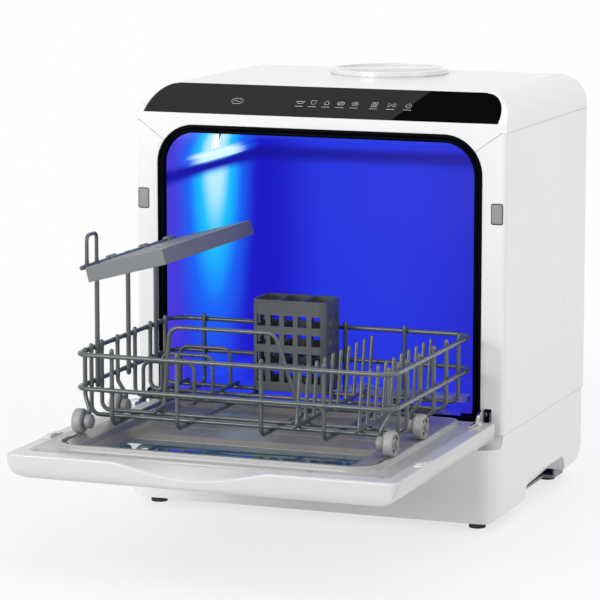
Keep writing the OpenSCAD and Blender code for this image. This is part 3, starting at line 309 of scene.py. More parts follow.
def bent(points, radius, steps=6):
    """A wire's centreline: straight runs joined at each corner by an arc that touches both runs."""
    points = [np.array(p, float) for p in points]
    line = [points[0]]
    for a, b, c in zip(points, points[1:], points[2:]):
        u, v = (a - b) / np.linalg.norm(a - b), (c - b) / np.linalg.norm(c - b)
        turn = pi - np.arccos(np.clip(u @ v, -1, 1))
        longest = 0.48 * min(np.linalg.norm(a - b), np.linalg.norm(c - b))
        cut = min(radius * np.tan(turn / 2), longest)
        arm = cut / np.tan(turn / 2)
        middle = b + (u + v) / np.linalg.norm(u + v) * np.hypot(cut, arm)
        k = np.linspace(0, 1, steps + 1)[:, None]
        start, end = b + u * cut - middle, b + v * cut - middle
        line.extend(middle + (np.sin((1 - k) * turn) * start + np.sin(k * turn) * end) / np.sin(turn))
    line.append(points[-1])
    return np.array(line)


def tube(line, radius, across, sides=12, closed=False):
    """Rings round a centreline: centre + r (cos a * side + sin a * up), where up is the direction
    across made square to the run, and side is the run's cross product with it. Open ends are domes."""
    radius = np.broadcast_to(np.asarray(radius, float), len(line)).copy()
    if closed:
        run = np.roll(line, -1, 0) - np.roll(line, 1, 0)
    else:
        run = np.gradient(line, axis=0)
    run /= np.linalg.norm(run, axis=1)[:, None]
    if not closed:
        dome = radians(90) * np.array([0.85, 0.6, 0.3])
        for end, step in ((0, -1), (-1, 1)):
            caps = line[end] + step * radius[end] * np.sin(dome)[:, None] * run[end]
            rings = radius[end] * np.cos(dome)
            runs = np.repeat(run[end][None], 3, 0)
            if end == 0:
                line = np.concatenate((caps, line))
                radius = np.concatenate((rings, radius))
                run = np.concatenate((runs, run))
            else:
                line = np.concatenate((line, caps[::-1]))
                radius = np.concatenate((radius, rings[::-1]))
                run = np.concatenate((run, runs))
    up = np.asarray(across, float) - (run @ np.asarray(across, float))[:, None] * run
    up /= np.linalg.norm(up, axis=1)[:, None]
    side = np.cross(run, up)
    a = np.arange(sides) * 2 * pi / sides
    ring = np.cos(a)[None, :, None] * side[:, None] + np.sin(a)[None, :, None] * up[:, None]
    points = line[:, None] + radius[:, None, None] * ring
    faces = grid_faces(len(line), sides, True).tolist() if closed else capped(len(line), sides)
    return points.reshape(-1, 3), faces


# The panel's face starts at this y and z and rises by 28 mm over 42; the marks stand just proud of it
PANEL_Y, PANEL_Z, PANEL_RISE = 0.5, 428.5, atan2(28.0, 42.0)
MARK_D, MARK_LIFT = 0.55, 0.4


def on_panel(x, q):
    """A point just over the panel's face: x across, q up its slope, both in mm."""
    y = PANEL_Y + q * cos(PANEL_RISE) - MARK_LIFT * sin(PANEL_RISE)
    return (x, y, PANEL_Z + q * sin(PANEL_RISE) + MARK_LIFT * cos(PANEL_RISE))


def stroke(points):
    """A printed line: a thin tube through points (x, q) of the panel's face."""
    line = np.array([on_panel(x, q) for x, q in points])
    return tube(line, MARK_D / 2, (0, -sin(PANEL_RISE), cos(PANEL_RISE)), 6)


def ring(x, q, rx, rq, start=0.0, end=360.0):
    """Arc of an ellipse about (x, q), in degrees from the x axis."""
    angles = np.radians(np.linspace(start, end, 28))
    return stroke([(x + rx * cos(a), q + rq * sin(a)) for a in angles])


marks = [ring(-98, 22, 6.4, 4.6), stroke([(-101.5, 22), (-99, 23.2), (-97, 20.8), (-94.5, 22)])]
KINDS = "bowl glass drop leaf sun door play power".split()
for x, kind in zip((-26, -11, 4, 20, 36, 58, 77, 96), KINDS):
    marks.append(stroke([(x - 4.4, 17.0), (x + 4.4, 17.0)]))
    if kind == "bowl":
        marks += [ring(x, 25, 4, 3.6, 180, 360), stroke([(x - 4.6, 25), (x + 4.6, 25)])]
    if kind == "glass":
        marks += [stroke([(x - 3, 27), (x - 2, 21), (x + 2, 21), (x + 3, 27), (x - 3, 27)])]
    if kind == "drop":
        marks += [ring(x, 23, 2.6, 2.4, 150, 390), stroke([(x - 2.2, 24.2), (x, 28), (x + 2.2, 24.2)])]
    if kind == "leaf":
        marks += [ring(x, 24, 3.8, 2.6), stroke([(x - 3.6, 22), (x + 3.6, 26)])]
    if kind == "sun":
        marks += [ring(x, 24, 1.7, 1.7)]
        for a in np.arange(0, 2 * pi, pi / 4):
            marks.append(stroke([(x + k * cos(a), 24 + k * sin(a)) for k in (2.7, 4.0)]))
    if kind == "door":
        box = [(x - 3.2, 20.5), (x - 3.2, 27.5), (x + 3.2, 27.5), (x + 3.2, 20.5), (x - 3.2, 20.5)]
        marks += [stroke(box), ring(x, 24, 1.7, 1.7)]
    if kind == "play":
        marks += [stroke([(x - 3.6, 21), (x - 3.6, 27), (x + 0.6, 24), (x - 3.6, 21)])]
        marks += [stroke([(x + k, 21), (x + k, 27)]) for k in (2.0, 4.0)]
    if kind == "power":
        marks += [ring(x, 23.8, 3, 3, 125, 415), stroke([(x, 24.5), (x, 28)])]
mark_ink = Finish("mark_ink", (0.6, 0.6, 0.62), 0.5)
wear = mark_ink.noise(300.0).band(0.35, 0.7)
mark_ink.set(Base_Color=mark_ink.mix(wear, (0.62, 0.62, 0.64), (0.45, 0.45, 0.47)))
printed = surface("panel_marks", marks, mark_ink)
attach(printed, "cabinet")

# Tub and its lamp
# The wash chamber is a seamless moulding with ledges for the basket's wheels and a rib round its
# upper walls. A small lamp behind a clear lens in the left wall floods it with blue light; that light is
# painted as a glow in the walls' emission colour.
# Places for the shader are in metres, in the row frame
LAMP = (-0.177, 0.153, 0.382)
RIB_Z = 0.364
# Painted light: the walls glow with the lamp's beam and shade, painted into their emission colour
tub_blue = Finish("tub_blue", (0.002, 0.004, 0.05), 0.35, Specular_IOR_Level=0.12, Emission_Strength=1.0)
tub_x, tub_y, tub_z = tub_blue.axes()
wander = tub_blue.noise(3.5, 3.0) - 0.5
along, upward = tub_y - LAMP[1], tub_z - LAMP[2]
across = tub_x - LAMP[0]
# Distance from the lamp, with a tall and narrow beam on the wall
BEAM_NARROW, BEAM_TALL = 3.0, 0.55
square = across * across + along * along * BEAM_NARROW + upward * upward * BEAM_TALL
lamp_gap = square**0.5 + wander * 0.05
deep = tub_blue.mix(tub_x.band(-0.02, 0.175), (0.018, 0.034, 0.70), (0.022, 0.016, 0.43))
# Painted shade: the far left corner and the left wall's front stay out of the beam
corner = tub_x.band(-0.09, -0.165) * tub_y.band(0.17, 0.27)
deep = tub_blue.mix(corner, deep, (0.013, 0.010, 0.52))
front = tub_x.band(-0.13, -0.17) * tub_y.band(0.10, 0.015)
deep = tub_blue.mix(front, deep, (0.070, 0.042, 0.62))
# Painted shade draws a dark line along the rib's foot, and painted lamplight a pale stripe over it
over_rib = tub_z - RIB_Z
back_wall = tub_y.band(0.2, 0.25)
shade = over_rib.band(-0.022, -0.010) * over_rib.band(0.004, -0.006)
low = tub_blue.mix(shade, deep, (0.010, 0.008, 0.33))
# Painted lamplight: the back wall above the rib is paler
high = tub_blue.mix(over_rib.band(0.004, 0.012) * back_wall, low, (0.020, 0.045, 0.70))
# Painted lamplight: round the lamp the blue turns cyan and then white
near = tub_blue.mix(lamp_gap.band(0.23, 0.09) * (1.0 - shade), high, (0.010, 0.16, 0.92))
core = tub_blue.mix(lamp_gap.band(0.145, 0.06) * (1.0 - shade), near, (0.012, 0.56, 0.98))
painted_white_pool = tub_blue.mix(lamp_gap.band(0.08, 0.025) * (1.0 - shade), core, (0.48, 0.86, 1.0))
stripe = over_rib.band(-0.004, 0.0) * over_rib.band(0.011, 0.006) * lamp_gap.band(0.16, 0.06)
lit = tub_blue.mix(stripe, painted_white_pool, (0.68, 0.93, 1.0))
within = tub_blue.node("ShaderNodeAttribute", attribute_name="within", output=2)
tub_blue.set(Emission_Color=tub_blue.mix(within, (0.0, 0.0, 0.0), lit))
tub_blue.bump(tub_blue.noise(600.0, 2.0), 0.00002)
eased(tub_blue, 0.7, "tub")
# A face lies within the chamber if it looks towards the middle, or is clear of the outer walls
skin = bpy.data.objects["tub_eased"].data
middle = np.array([0.0, 0.155, 0.262])
reach = np.array([0.1765, 0.148, 0.146])
centres = np.empty(3 * len(skin.polygons))
looks = np.empty(3 * len(skin.polygons))
skin.polygons.foreach_get("center", centres)
skin.polygons.foreach_get("normal", looks)
off_middle = centres.reshape(-1, 3) - middle
towards = (off_middle * looks.reshape(-1, 3)).sum(1) < 0
clear_of_walls = (np.abs(off_middle) < reach).all(1)
within_chamber = skin.attributes.new("within", "FLOAT", "FACE")
within_chamber.data.foreach_set("value", (towards | clear_of_walls).astype("f"))
lens = Finish(
    "lamp_lens", (0.8, 0.9, 1.0), 0.2, Emission_Color=(0.6, 0.9, 1.0), Emission_Strength=2.5
)
frosting = lens.noise(500.0).band(0.3, 0.7)
lens.set(Base_Color=lens.mix(frosting, (0.8, 0.92, 1.0), (0.55, 0.75, 0.95)))
eased(lens, 0.6, "tub_lamp")

# Water works
# Moulded pumps, sump, fan and tank and a steel heater fill the room round the tub. The arm, its post
# and the filter stand in the tub's floor; the ports leave through the plinth's rear wall.
pump_plastic = moulded("pump_plastic", (0.03, 0.031, 0.034), 0.55, grain=0.00006)
eased(pump_plastic, 0.4, "sump wash_pump drain_pump drying_fan drain_spigot")
clear_plastic = moulded("natural_plastic", (0.55, 0.57, 0.60), 0.35, grain=0.00004)
eased(clear_plastic, 0.5, "spray_arm spray_arm_post water_tank fill_neck inlet_connector")
grey_plastic = moulded("grey_plastic", (0.20, 0.205, 0.21), 0.45, grain=0.00006)
eased(grey_plastic, 0.4, "filter_cup")
steel = Finish("brushed_steel", (0.55, 0.55, 0.57), 0.28, 1.0)
lines = steel.noise(260.0, 4.0, (1.0, 18.0, 1.0))
steel.set(Base_Color=steel.mix(lines.band(0.3, 0.7), (0.60, 0.60, 0.62), (0.48, 0.48, 0.50)))
steel.set(Roughness=lines * 0.2 + 0.2)
eased(steel, 0.3, "filter_plate heater hinge_brackets")

# Door seal
# A black rubber profile, moulded as one closed loop with two soft lips, runs round the opening. Its
# heel hooks behind the front frame's edge.
OPEN_X, OPEN_Z0, OPEN_Z1 = 175.5, 117.0, 407.0
OPEN_R_TOP, OPEN_R_LOW = 34.0, 8.0


def rounded(x, v0, v1, r0, r1, flats=24, arc=10):
    """Round-cornered outline from -x to x and from v0 to v1: points and outward normals. Corner radii
    are r0 at v0 and r1 at v1; flats points lie on each straight side, and a corner has arc steps."""
    corners = [
        (x - r1, v1 - r1, r1, 0), (-x + r1, v1 - r1, r1, 90),
        (-x + r0, v0 + r0, r0, 180), (x - r0, v0 + r0, r0, 270),
    ]
    points, normals = [], []
    for cx, cv, r, a0 in corners:
        a = np.radians(np.linspace(a0, a0 + 90, arc + 1))
        normal = np.stack([np.cos(a), np.sin(a)], 1)
        points.append(np.array([cx, cv]) + r * normal)
        normals.append(normal)
    outline, facing = [], []
    for k in range(4):
        here, there = points[k], points[(k + 1) % 4]
        t = np.linspace(0, 1, flats + 2)[1:-1, None]
        outline += [here, here[-1] + t * (there[0] - here[-1])]
        facing += [normals[k], np.repeat(normals[k][-1:], flats, 0)]
    return np.concatenate(outline), np.concatenate(facing)


# Rows of the seal's section: how far outside the opening, and how far in front of the frame
SEAL = np.array([
    (0.0, -4.8), (0.0, 0.2), (0.5, 1.6), (1.5, 2.4), (2.7, 2.45), (3.6, 1.9), (4.3, 1.2), (5.1, 1.7),
    (6.2, 2.45), (7.3, 2.3), (8.2, 1.4), (8.5, 0.2), (8.5, -2.5), (3.4, -2.5), (3.4, -4.8),
])
way, facing = rounded(OPEN_X, OPEN_Z0, OPEN_Z1, OPEN_R_LOW, OPEN_R_TOP)
loops = []
for out, front in SEAL:
    x, z = (way + out * facing).T
    loops.append(np.stack([x, np.full(len(way), -front), z], 1))
rubber = moulded(
    "seal_rubber", (0.0004, 0.0009, 0.0026), 0.45, grain=0.00005, Specular_IOR_Level=0.03
)
seal_faces = grid_faces(len(SEAL), len(way), True).tolist()
surface("door_seal", [(np.concatenate(loops), seal_faces)], rubber, "door_gasket")

# Catches and hinges
# Grey nylon catch plates lie flush beside the seal, each in a fine joint whose shadow is painted as a
# dark bed. The hinges are bright steel arms on pins that pass through slots in the front.
def loft(rows, place, upright=False):
    """A closed skin through round-cornered outlines. A row is (half width, v0, v1, r0, r1, depth); its
    points are (x, -v, depth), or (x, depth, v) where it is upright, moved by place."""
    loops = []
    for x, v0, v1, r0, r1, depth in rows:
        way, _ = rounded(x, v0, v1, r0, r1, 24, 8)
        level = np.full(len(way), depth)
        columns = (way[:, 0], level, way[:, 1]) if upright else (way[:, 0], -way[:, 1], level)
        loops.append(np.stack(columns, 1) + place)
    return np.concatenate(loops), capped(len(rows), len(loops[0]))


CATCH_X, CATCH_Z = 200.5, 334.0
catch_grey = moulded("catch_nylon", (0.265, 0.265, 0.27), 0.4)
painted_shade_dark = moulded("joint_shadow", (0.02, 0.02, 0.022), 0.7, grain=0.0001)
# Rows of a plate and of the dark bed behind it, painted shade: half width, z0, z1, two corner radii and
# depth
PLATE = [(4.6, -9.1, 9.1, 1.0, 1.0, -0.5), (5.3, -9.8, 9.8, 1.3, 1.3, -0.45),
         (5.7, -10.2, 10.2, 1.6, 1.6, -0.15), (5.7, -10.2, 10.2, 1.6, 1.6, 3.0)]
BED = [(6.4, -10.9, 10.9, 2.2, 2.2, 3.0), (6.4, -10.9, 10.9, 2.2, 2.2, -0.12),
       (6.2, -10.7, 10.7, 2.0, 2.0, -0.16)]
plates = [loft(PLATE, (side * CATCH_X, 0.0, CATCH_Z), upright=True) for side in (-1, 1)]
joints = [loft(BED, (side * CATCH_X, 0.0, CATCH_Z), upright=True) for side in (-1, 1)]
surface("catch_plates", plates, catch_grey, "door_catches")
beds = surface("catch_joints", joints, painted_shade_dark)
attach(beds, "cabinet")
# A pocket is a cup round the hinge arm's way, dark with painted shade: its inner wall, then its outer one
POCKET_X = 189.0
POCKET = [(6.6, 90, 127.5, 2, 2, 20.0), (6.6, 90, 127.5, 2, 2, 0.9), (7.2, 89.4, 128, 2.5, 2.5, 0.9),
          (7.2, 89.4, 128, 2.5, 2.5, 20.6)]
pockets = [loft(POCKET, (side * POCKET_X, 0.0, 0.0), upright=True) for side in (-1, 1)]
cups = surface("hinge_pockets", pockets, painted_shade_dark)
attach(cups, "cabinet")
bright = Finish("bright_steel", (0.72, 0.72, 0.74), 0.16, 1.0)
bright.set(Roughness=bright.noise(120.0, 3.0) * 0.16 + 0.1)
eased(bright, 0.3, "hinge_arms door_screws")

# Fill cap
# A thick round cap of glossy plastic lies in the roof over the filling mouth: a dish with a grip bar
# across it, on a soft ring.
cap_plastic = moulded(
    "cap_plastic", (0.78, 0.785, 0.79), 0.2, shade=0.02, Coat_Weight=0.5, Coat_Roughness=0.08
)
eased(cap_plastic, 1.2, "fill_cap", 3)
eased(rubber, 0.1, "cap_seal")

# Door
# The outer shell is a white moulding with a grip scooped out of its free edge. A grey liner closes
# it inside, with raised rails for the basket's wheels round a double-glazed window.
HINGE_Y, HINGE_Z = -12.0, 107.0
# Heights over the hinge pin: the outer skin, the liner's face, its rail and the rail's lip
SKIN, FACE, RAIL, LIP = -17.0, 9.0, 14.0, 15.2
# Heights of the round under the shell's edge at its sides, its free edge and its hinge edge
SIDE_ROUND, FREE_ROUND, HINGE_ROUND = 23.0, 12.0, 3.0
SCOOP_X, SCOOP_HALF, SCOOP_DEEP = -8.0, 84.0, 13.0
# The scoop starts at this u, and is full this far on, or this high over the skin
SCOOP_U, SCOOP_RUN = 298.0, 26.0
BRIM_R = 2.2


def sheet(name, rows, finish, stands_for, shape):
    """A skin closed on itself both ways, through rows of (half width, u0, u1, r0, r1, level). The door
    lies flat: u runs from the hinge to the free edge, and shape maps (x, u, level, normals) to the
    height over the hinge."""
    loops = []
    for x, u0, u1, r0, r1, level in rows:
        way, out = rounded(x, u0, u1, r0, r1, 96, 8)
        v = shape(way[:, 0], way[:, 1], level, out)
        loops.append(np.stack([way[:, 0], HINGE_Y - way[:, 1], HINGE_Z + v], 1))
    faces = grid_faces(len(rows), len(loops[0]), True).tolist()
    return surface(name, [(np.concatenate(loops), faces)], finish, stands_for)


def shell_level(x, u, level, out):
    """Heights of the shell: level 0 to 1 runs down the round under the edge, whose height goes over
    from one side to the next with the normal; other levels are plain heights. The scoop then lowers
    the edge by SCOOP_DEEP (1 - t^2)^1.3, where t runs from -1 to 1 along it."""
    ends = np.where(out[:, 1] > -0.5, FREE_ROUND, HINGE_ROUND)
    high = ends + (SIDE_ROUND - ends) * out[:, 0] ** 2
    v = SKIN + high * (1 - level) if 0 <= level <= 1 else np.full(len(x), level)
    t = np.clip((x - SCOOP_X) / SCOOP_HALF, -1, 1)
    near_edge = np.clip((u - SCOOP_U) / SCOOP_RUN, 0, 1) ** 1.15
    return v - SCOOP_DEEP * (1 - t**2) ** 1.3 * near_edge * np.clip((v - SKIN) / SCOOP_RUN, 0, 1)


def edge_row(bend):
    """Row of the round under the door's edge at the angle bend, in degrees."""
    inward, down = 1 - cos(radians(bend)), sin(radians(bend))
    return (207 - 20 * inward, 4 + 3 * inward, 324 - 12 * inward, 6 + 3 * inward, 6 + 6 * inward, down)


def rim_row(share):
    """Row of the shell's flat rim, from its step (share 0) to the start of its rounded edge (1)."""
    corner = 8.7 - 3 * share
    return (192.7 + 12.1 * share, 15.3 - 9.1 * share, 304.7 + 17.1 * share, corner, corner, 8.85)


def brim_row(bend):
    """Row of the round over the rim's edge at the angle bend, in degrees."""
    outward, down = BRIM_R * sin(radians(bend)), BRIM_R * (1 - cos(radians(bend)))
    return (204.8 + outward, 6.2 - outward, 321.8 + outward, 5.7, 5.7, 8.85 - down)


# Painted shade: the door's shell is the casing's white plastic, painted darker for the shade on it
shaded_door_white = moulded(
    "door_moulding_painted_shade", (0.60, 0.60, 0.602), 0.3, shade=0.015, Coat_Weight=0.3, Coat_Roughness=0.12
)
# From the step that holds the liner, over the rim and round the edge, to the window's opening
shell_rows = [
    (192, 16, 304, 8, 8, 2.0), (192, 16, 304, 8, 8, 8.3), (192.2, 15.8, 304.2, 8.2, 8.2, 8.7),
    *(rim_row(share) for share in (0.0, 0.2, 0.4, 0.6, 0.8, 1.0)),
    *(brim_row(bend) for bend in (25, 50, 70, 90)),
    *(edge_row(bend) for bend in range(0, 91, 9)),
    (125, 189, 273, 6, 6, SKIN), (124.2, 189.8, 272.2, 6, 6, SKIN + 0.3),
    (124, 190, 272, 6, 6, SKIN + 2.6), (128, 186, 276, 6, 6, SKIN + 2.6), (185, 22, 300, 8, 8, SKIN + 2.6),
]
sheet("door_shell", shell_rows, shaded_door_white, "door_panel", shell_level)

# Painted reflection: the rim and the rail's outer side and crest are painted a paler grey
liner_grey = Finish("liner_plastic", (0.3, 0.3, 0.3), 0.3)
pale = liner_grey.node("ShaderNodeAttribute", attribute_name="pale", output=2)
mottle = liner_grey.noise(9.0, 4.0).band(0.3, 0.75)
inner_tone = liner_grey.mix(mottle, (0.235, 0.222, 0.215), (0.20, 0.19, 0.185))
liner_grey.set(Base_Color=liner_grey.mix(pale, inner_tone, (0.40, 0.40, 0.402)))
liner_grey.set(Roughness=mottle * 0.1 + 0.25)
liner_grey.bump(liner_grey.noise(900.0, 2.0), 0.00003)
# The lip rises from this u over this run; the wheels' pockets lie between two u, with sloping ends
LIP_U, LIP_RUN = 244.0, 9.0
SLOT_U0, SLOT_U1, SLOT_SLOPE, SLOT_DEEP = 238.0, 282.0, 2.4, 2.2


def liner_level(x, u, level, out):
    """Heights of the liner: "top" is the rail with its lip at the free edge, a smoothstep of u, and
    "slot" the rail with the pockets that stop the wheels; other levels are plain heights."""
    lip = np.clip((u - LIP_U) / LIP_RUN, 0, 1)
    if level == "top":
        return RAIL + (LIP - RAIL) * lip * lip * (3 - 2 * lip)
    if level == "slot":
        into = np.clip((u - SLOT_U0) / SLOT_SLOPE, 0, 1)
        out_of = np.clip((SLOT_U1 - u) / SLOT_SLOPE, 0, 1)
        return RAIL - SLOT_DEEP * into * out_of
    return np.full(len(x), float(level))


# The rim and the raised rail's outer side and crest
outer_rows = [
    (188, 20, 300, 7, 7, 5.5), (191.7, 16.3, 303.7, 7.6, 7.6, 5.5), (191.7, 16.3, 303.7, 7.6, 7.6, 8.6),
    (191.3, 16.6, 303.3, 7.4, 7.4, 8.95), (190.5, 16.7, 302.5, 7, 7, 9.0),
    (175.0, 16.8, 296.4, 16.6, 31, 9.0), (173.9, 16.9, 295.4, 16.1, 30.2, 9.35),
    (173.5, 17.0, 295.0, 16, 30, 10.2), (173.4, 17.1, 294.9, 16, 30, 13.0),
    (173.0, 17.5, 294.5, 15.6, 29.6, "top"), (172.2, 18.3, 293.7, 15, 29, "top"),
    (170.4, 20.1, 291.9, 13, 27, "top"), (170.0, 20.5, 291.5, 13, 27, 13.95),
]
# The wheels' track, the slope to the sunk floor, and the step down to the window
inner_rows = [
    (169.5, 21.0, 291.0, 12.6, 26.6, 14.0), (169.2, 21.3, 290.7, 12.4, 26.4, "slot"),
    (164.9, 25.6, 286.3, 9, 23, "slot"), (164.6, 25.9, 286.0, 9, 23, 14.0),
    (146.3, 30.2, 282.8, 6, 8, 14.0), (145.4, 31.1, 281.9, 6, 8, 13.7),
    (141.8, 34.7, 278.3, 5, 6, 9.3), (141.0, 35.5, 277.9, 5, 6, 9.0),
    (139.9, 180.4, 277.8, 5, 5, 9.0), (139.2, 181.2, 277.7, 5, 5, 8.7), (130.4, 183.6, 277.6, 6, 6, 3.8),
    (130.0, 184.0, 277.5, 6, 6, 3.4), (129.9, 184.1, 277.4, 6, 6, 0.2), (134, 180, 283, 6, 6, 0.2),
]
liner = sheet("liner_moulding", outer_rows + inner_rows, liner_grey, "door_liner", liner_level)
# The attribute "pale" is 1 on the outer rows, which are painted paler as a painted reflection, and 0 on
# the inner ones
painted_reflection_rows = np.repeat([1.0, 0.0], [len(outer_rows), len(inner_rows)])
per_row = len(liner.data.vertices) // len(painted_reflection_rows)
tone = liner.data.attributes.new("pale", "FLOAT", "POINT")
tone.data.foreach_set("value", np.repeat(painted_reflection_rows, per_row).astype("f"))

# Four low stiffening beads across the sunk floor
BEAD_HALF, BEAD_R, BEAD_SUNK = 132.0, 1.6, 0.5
beads = []
for u in (72.0, 94.0, 116.0, 138.0):
    line = [(x, HINGE_Y - u, HINGE_Z + FACE - BEAD_SUNK) for x in np.linspace(-BEAD_HALF, BEAD_HALF, 40)]
    beads.append(tube(np.array(line), BEAD_R, (0, 0, 1), 16))
fins = surface("liner_beads", beads, liner_grey)
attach(fins, "door")

# Dishes of painted shade that the screws sit in, near the free edge: rows of (radius, height over the
# liner)
WELL = ((2.6, -0.5), (2.6, 0.04), (2.2, 0.05), (1.6, -0.1), (0.5, -0.2))
WELL_U, WELL_SIDES = 300.4, 20
wells = []
turn = np.arange(WELL_SIDES) * 2 * pi / WELL_SIDES
for x in (-184.0, -110.0, 110.0, 184.0):
    y = HINGE_Y - WELL_U
    shape = [[(x + r * cos(a), y + r * sin(a), HINGE_Z + FACE + h) for a in turn] for r, h in WELL]
    wells.append((np.array(shape), capped(len(WELL), WELL_SIDES)))
dark_wells = surface("screw_wells", wells, painted_shade_dark)
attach(dark_wells, "door")

# A latch hook is a low block on a wider foot, both with eased tops: half width, u0, u1, foot and top
HOOK_BLOCKS = ((4.9, 212.0, 242.0, 2.0, 10.2), (3.6, 222.0, 238.0, 9.0, 11.3))
hooks = []
for side in (-1, 1):
    for half, u0, u1, low, high in HOOK_BLOCKS:
        block = [
            (half, u0, u1, 1.2, 1.2, low), (half, u0, u1, 1.2, 1.2, high - 0.7),
            (half - 0.3, u0 + 0.3, u1 - 0.3, 1, 1, high - 0.2),
            (half - 0.9, u0 + 0.9, u1 - 0.9, 0.8, 0.8, high),
        ]
        hooks.append(loft(block, (side * CATCH_X, HINGE_Y, HINGE_Z)))
# The hooks share the door's white, painted darker with shade
surface("latch_hook_blocks", hooks, shaded_door_white, "latch_hooks")

glass = Finish("window_glass", (0.02, 0.12, 0.17), 0.04, Coat_Weight=1.0, Coat_Roughness=0.02)
# Painted reflection: bluer and greener patches stand for the tub's light mirrored in the glass
painted_reflection_patches = glass.noise(14.0, 1.0).band(0.45, 0.6)
glass.set(Base_Color=glass.mix(painted_reflection_patches, (0.028, 0.115, 0.20), (0.04, 0.16, 0.17)))
PANE = [(129.4, 184.6, 277.0, 6, 6, 0.4), (129.4, 184.6, 277.0, 6, 6, 2.7),
        (128.8, 185.2, 276.4, 5.6, 5.6, 3.05), (127.6, 186.4, 275.2, 5, 5, 3.1)]
surface("inner_glass", [loft(PANE, (0, HINGE_Y, HINGE_Z))], glass, "window_pane")
eased(glass, 0.3, "outer_pane")
eased(rubber, 0.3, "window_seal")

# Basket wheels
# Four grey plastic wheels with rounded treads turn on pins in round brackets at the struts' feet.
# Each outer face is dished round a hub with five spokes.
AXLE_Y, AXLE_Z = -241.0, 134.0
WHEEL_X, WHEELBASE = 168.0, 92.0
# Rows of a wheel's section: radius, distance out from its middle, and how dark the face is
WHEEL = np.array([
    (2.6, -5.0, 0), (2.6, 5.0, 0), (4.4, 5.0, 0), (5.0, 4.6, 0), (5.4, 2.6, 1), (6.0, 2.2, 1),
    (7.6, 2.2, 1), (9.0, 2.2, 1), (9.5, 2.7, 1), (9.9, 4.5, 0), (10.3, 5.0, 0), (10.9, 5.0, 0),
    (11.8, 4.7, 0), (12.4, 4.0, 0), (12.7, 3.0, 0), (12.7, -3.0, 0), (12.4, -4.0, 0),
    (11.8, -4.7, 0), (10.7, -5.0, 0),
])
SPOKES, SPOKE_RISE, WHEEL_SIDES = 5, 1.9, 60
wheel_plastic = Finish("wheel_plastic", (0.36, 0.36, 0.365), 0.45)
dark_face = wheel_plastic.node("ShaderNodeAttribute", attribute_name="dish", output=2)
speck = wheel_plastic.noise(900.0, 2.0)
wheel_plastic.set(Base_Color=wheel_plastic.mix(dark_face, (0.36, 0.36, 0.365), (0.03, 0.031, 0.033)))
wheel_plastic.set(Roughness=speck * 0.2 + 0.35)
wheel_plastic.bump(speck, 0.00004)
for name, side, back in (
    ("front_wheel_left", -1, 0.0), ("front_wheel_right", 1, 0.0),
    ("rear_wheel_left", -1, WHEELBASE), ("rear_wheel_right", 1, WHEELBASE),
):
    turn = np.arange(WHEEL_SIDES) * 2 * pi / WHEEL_SIDES
    spoke = np.clip((np.cos(SPOKES * turn) - 0.55) / 0.3, 0, 1)
    r, out, dish = (WHEEL[:, k][:, None] for k in range(3))
    out = out + dish * spoke * SPOKE_RISE
    x = side * (WHEEL_X + out)
    y = AXLE_Y + back + side * r * np.cos(turn)
    z = AXLE_Z + r * np.sin(turn)
    faces = grid_faces(len(WHEEL), WHEEL_SIDES, True).tolist()
    wheel = surface(name + "_turned", [(np.stack([x, y, z], -1), faces)], wheel_plastic, name)
    tone = wheel.data.attributes.new("dish", "FLOAT", "POINT")
    tone.data.foreach_set("value", (dish * (1 - spoke)).astype(np.float32).ravel())
# Rows of a turned piece: radius and distance from the machine's middle
BRACKET = [(0.3, 153.4), (4.4, 153.4), (5.0, 153.9), (5.0, 154.6), (7.0, 154.8), (7.5, 155.4),
           (7.5, 160.4), (7.0, 161.2), (5.0, 161.4), (0.3, 161.4)]
AXLE = [(0.3, 161.0), (2.4, 161.0), (2.4, 173.4), (3.6, 173.4), (3.9, 173.9), (3.6, 174.5),
        (2.6, 174.8), (0.3, 174.8)]


def turned(rows, back, side, sides=32):
    """A lathed piece: rows of (radius r, distance out) turned about an axle, that is r cos a along y
    and r sin a along z, closed with flat ends."""
    turn = np.arange(sides) * 2 * pi / sides
    r, out = (np.array(rows)[:, k, None] for k in range(2))
    y, z = AXLE_Y + back + r * np.cos(turn), AXLE_Z + r * np.sin(turn)
    return np.stack([side * out + 0 * turn, y, z], -1), capped(len(rows), sides)


bracket_grey = moulded("bracket_plastic", (0.30, 0.30, 0.305), 0.42, grain=0.00005)
for name, rows, backs, finish in (
    ("wheel_brackets", BRACKET, (0.0, WHEELBASE), bracket_grey),
    ("front_axles", AXLE, (0.0,), grey_plastic),
    ("rear_axles", AXLE, (WHEELBASE,), grey_plastic),
):
    pieces = [turned(rows, back, side) for back in backs for side in (-1, 1)]
    surface(name + "_turned", pieces, finish, name)

# Basket
# Steel wires welded where they cross and dipped in dark grey nylon, which gathers at each weld:
# two closed rims, U-shaped floor wires, struts to the wheels, tines, cup loops and the shelf's posts.

# Across: the rims, the crosswise wires' upright ends, the shelf's rod and the struts' feet
RIM_X, UP_X, ROD_X, FOOT_X = 171.5, 166.7, -166.45, 157.3
# Up: the two layers of floor wires, what rests on them, and the wires' tops
FLOOR_Z, CROSS_Z, REST_Z, TOP_Z = -2.0, 2.55, 7.1, 74.0
RIM_D, WIRE_D, FINE_D = 5.0, 4.5, 4.0
STEP = 2.5
wires = []


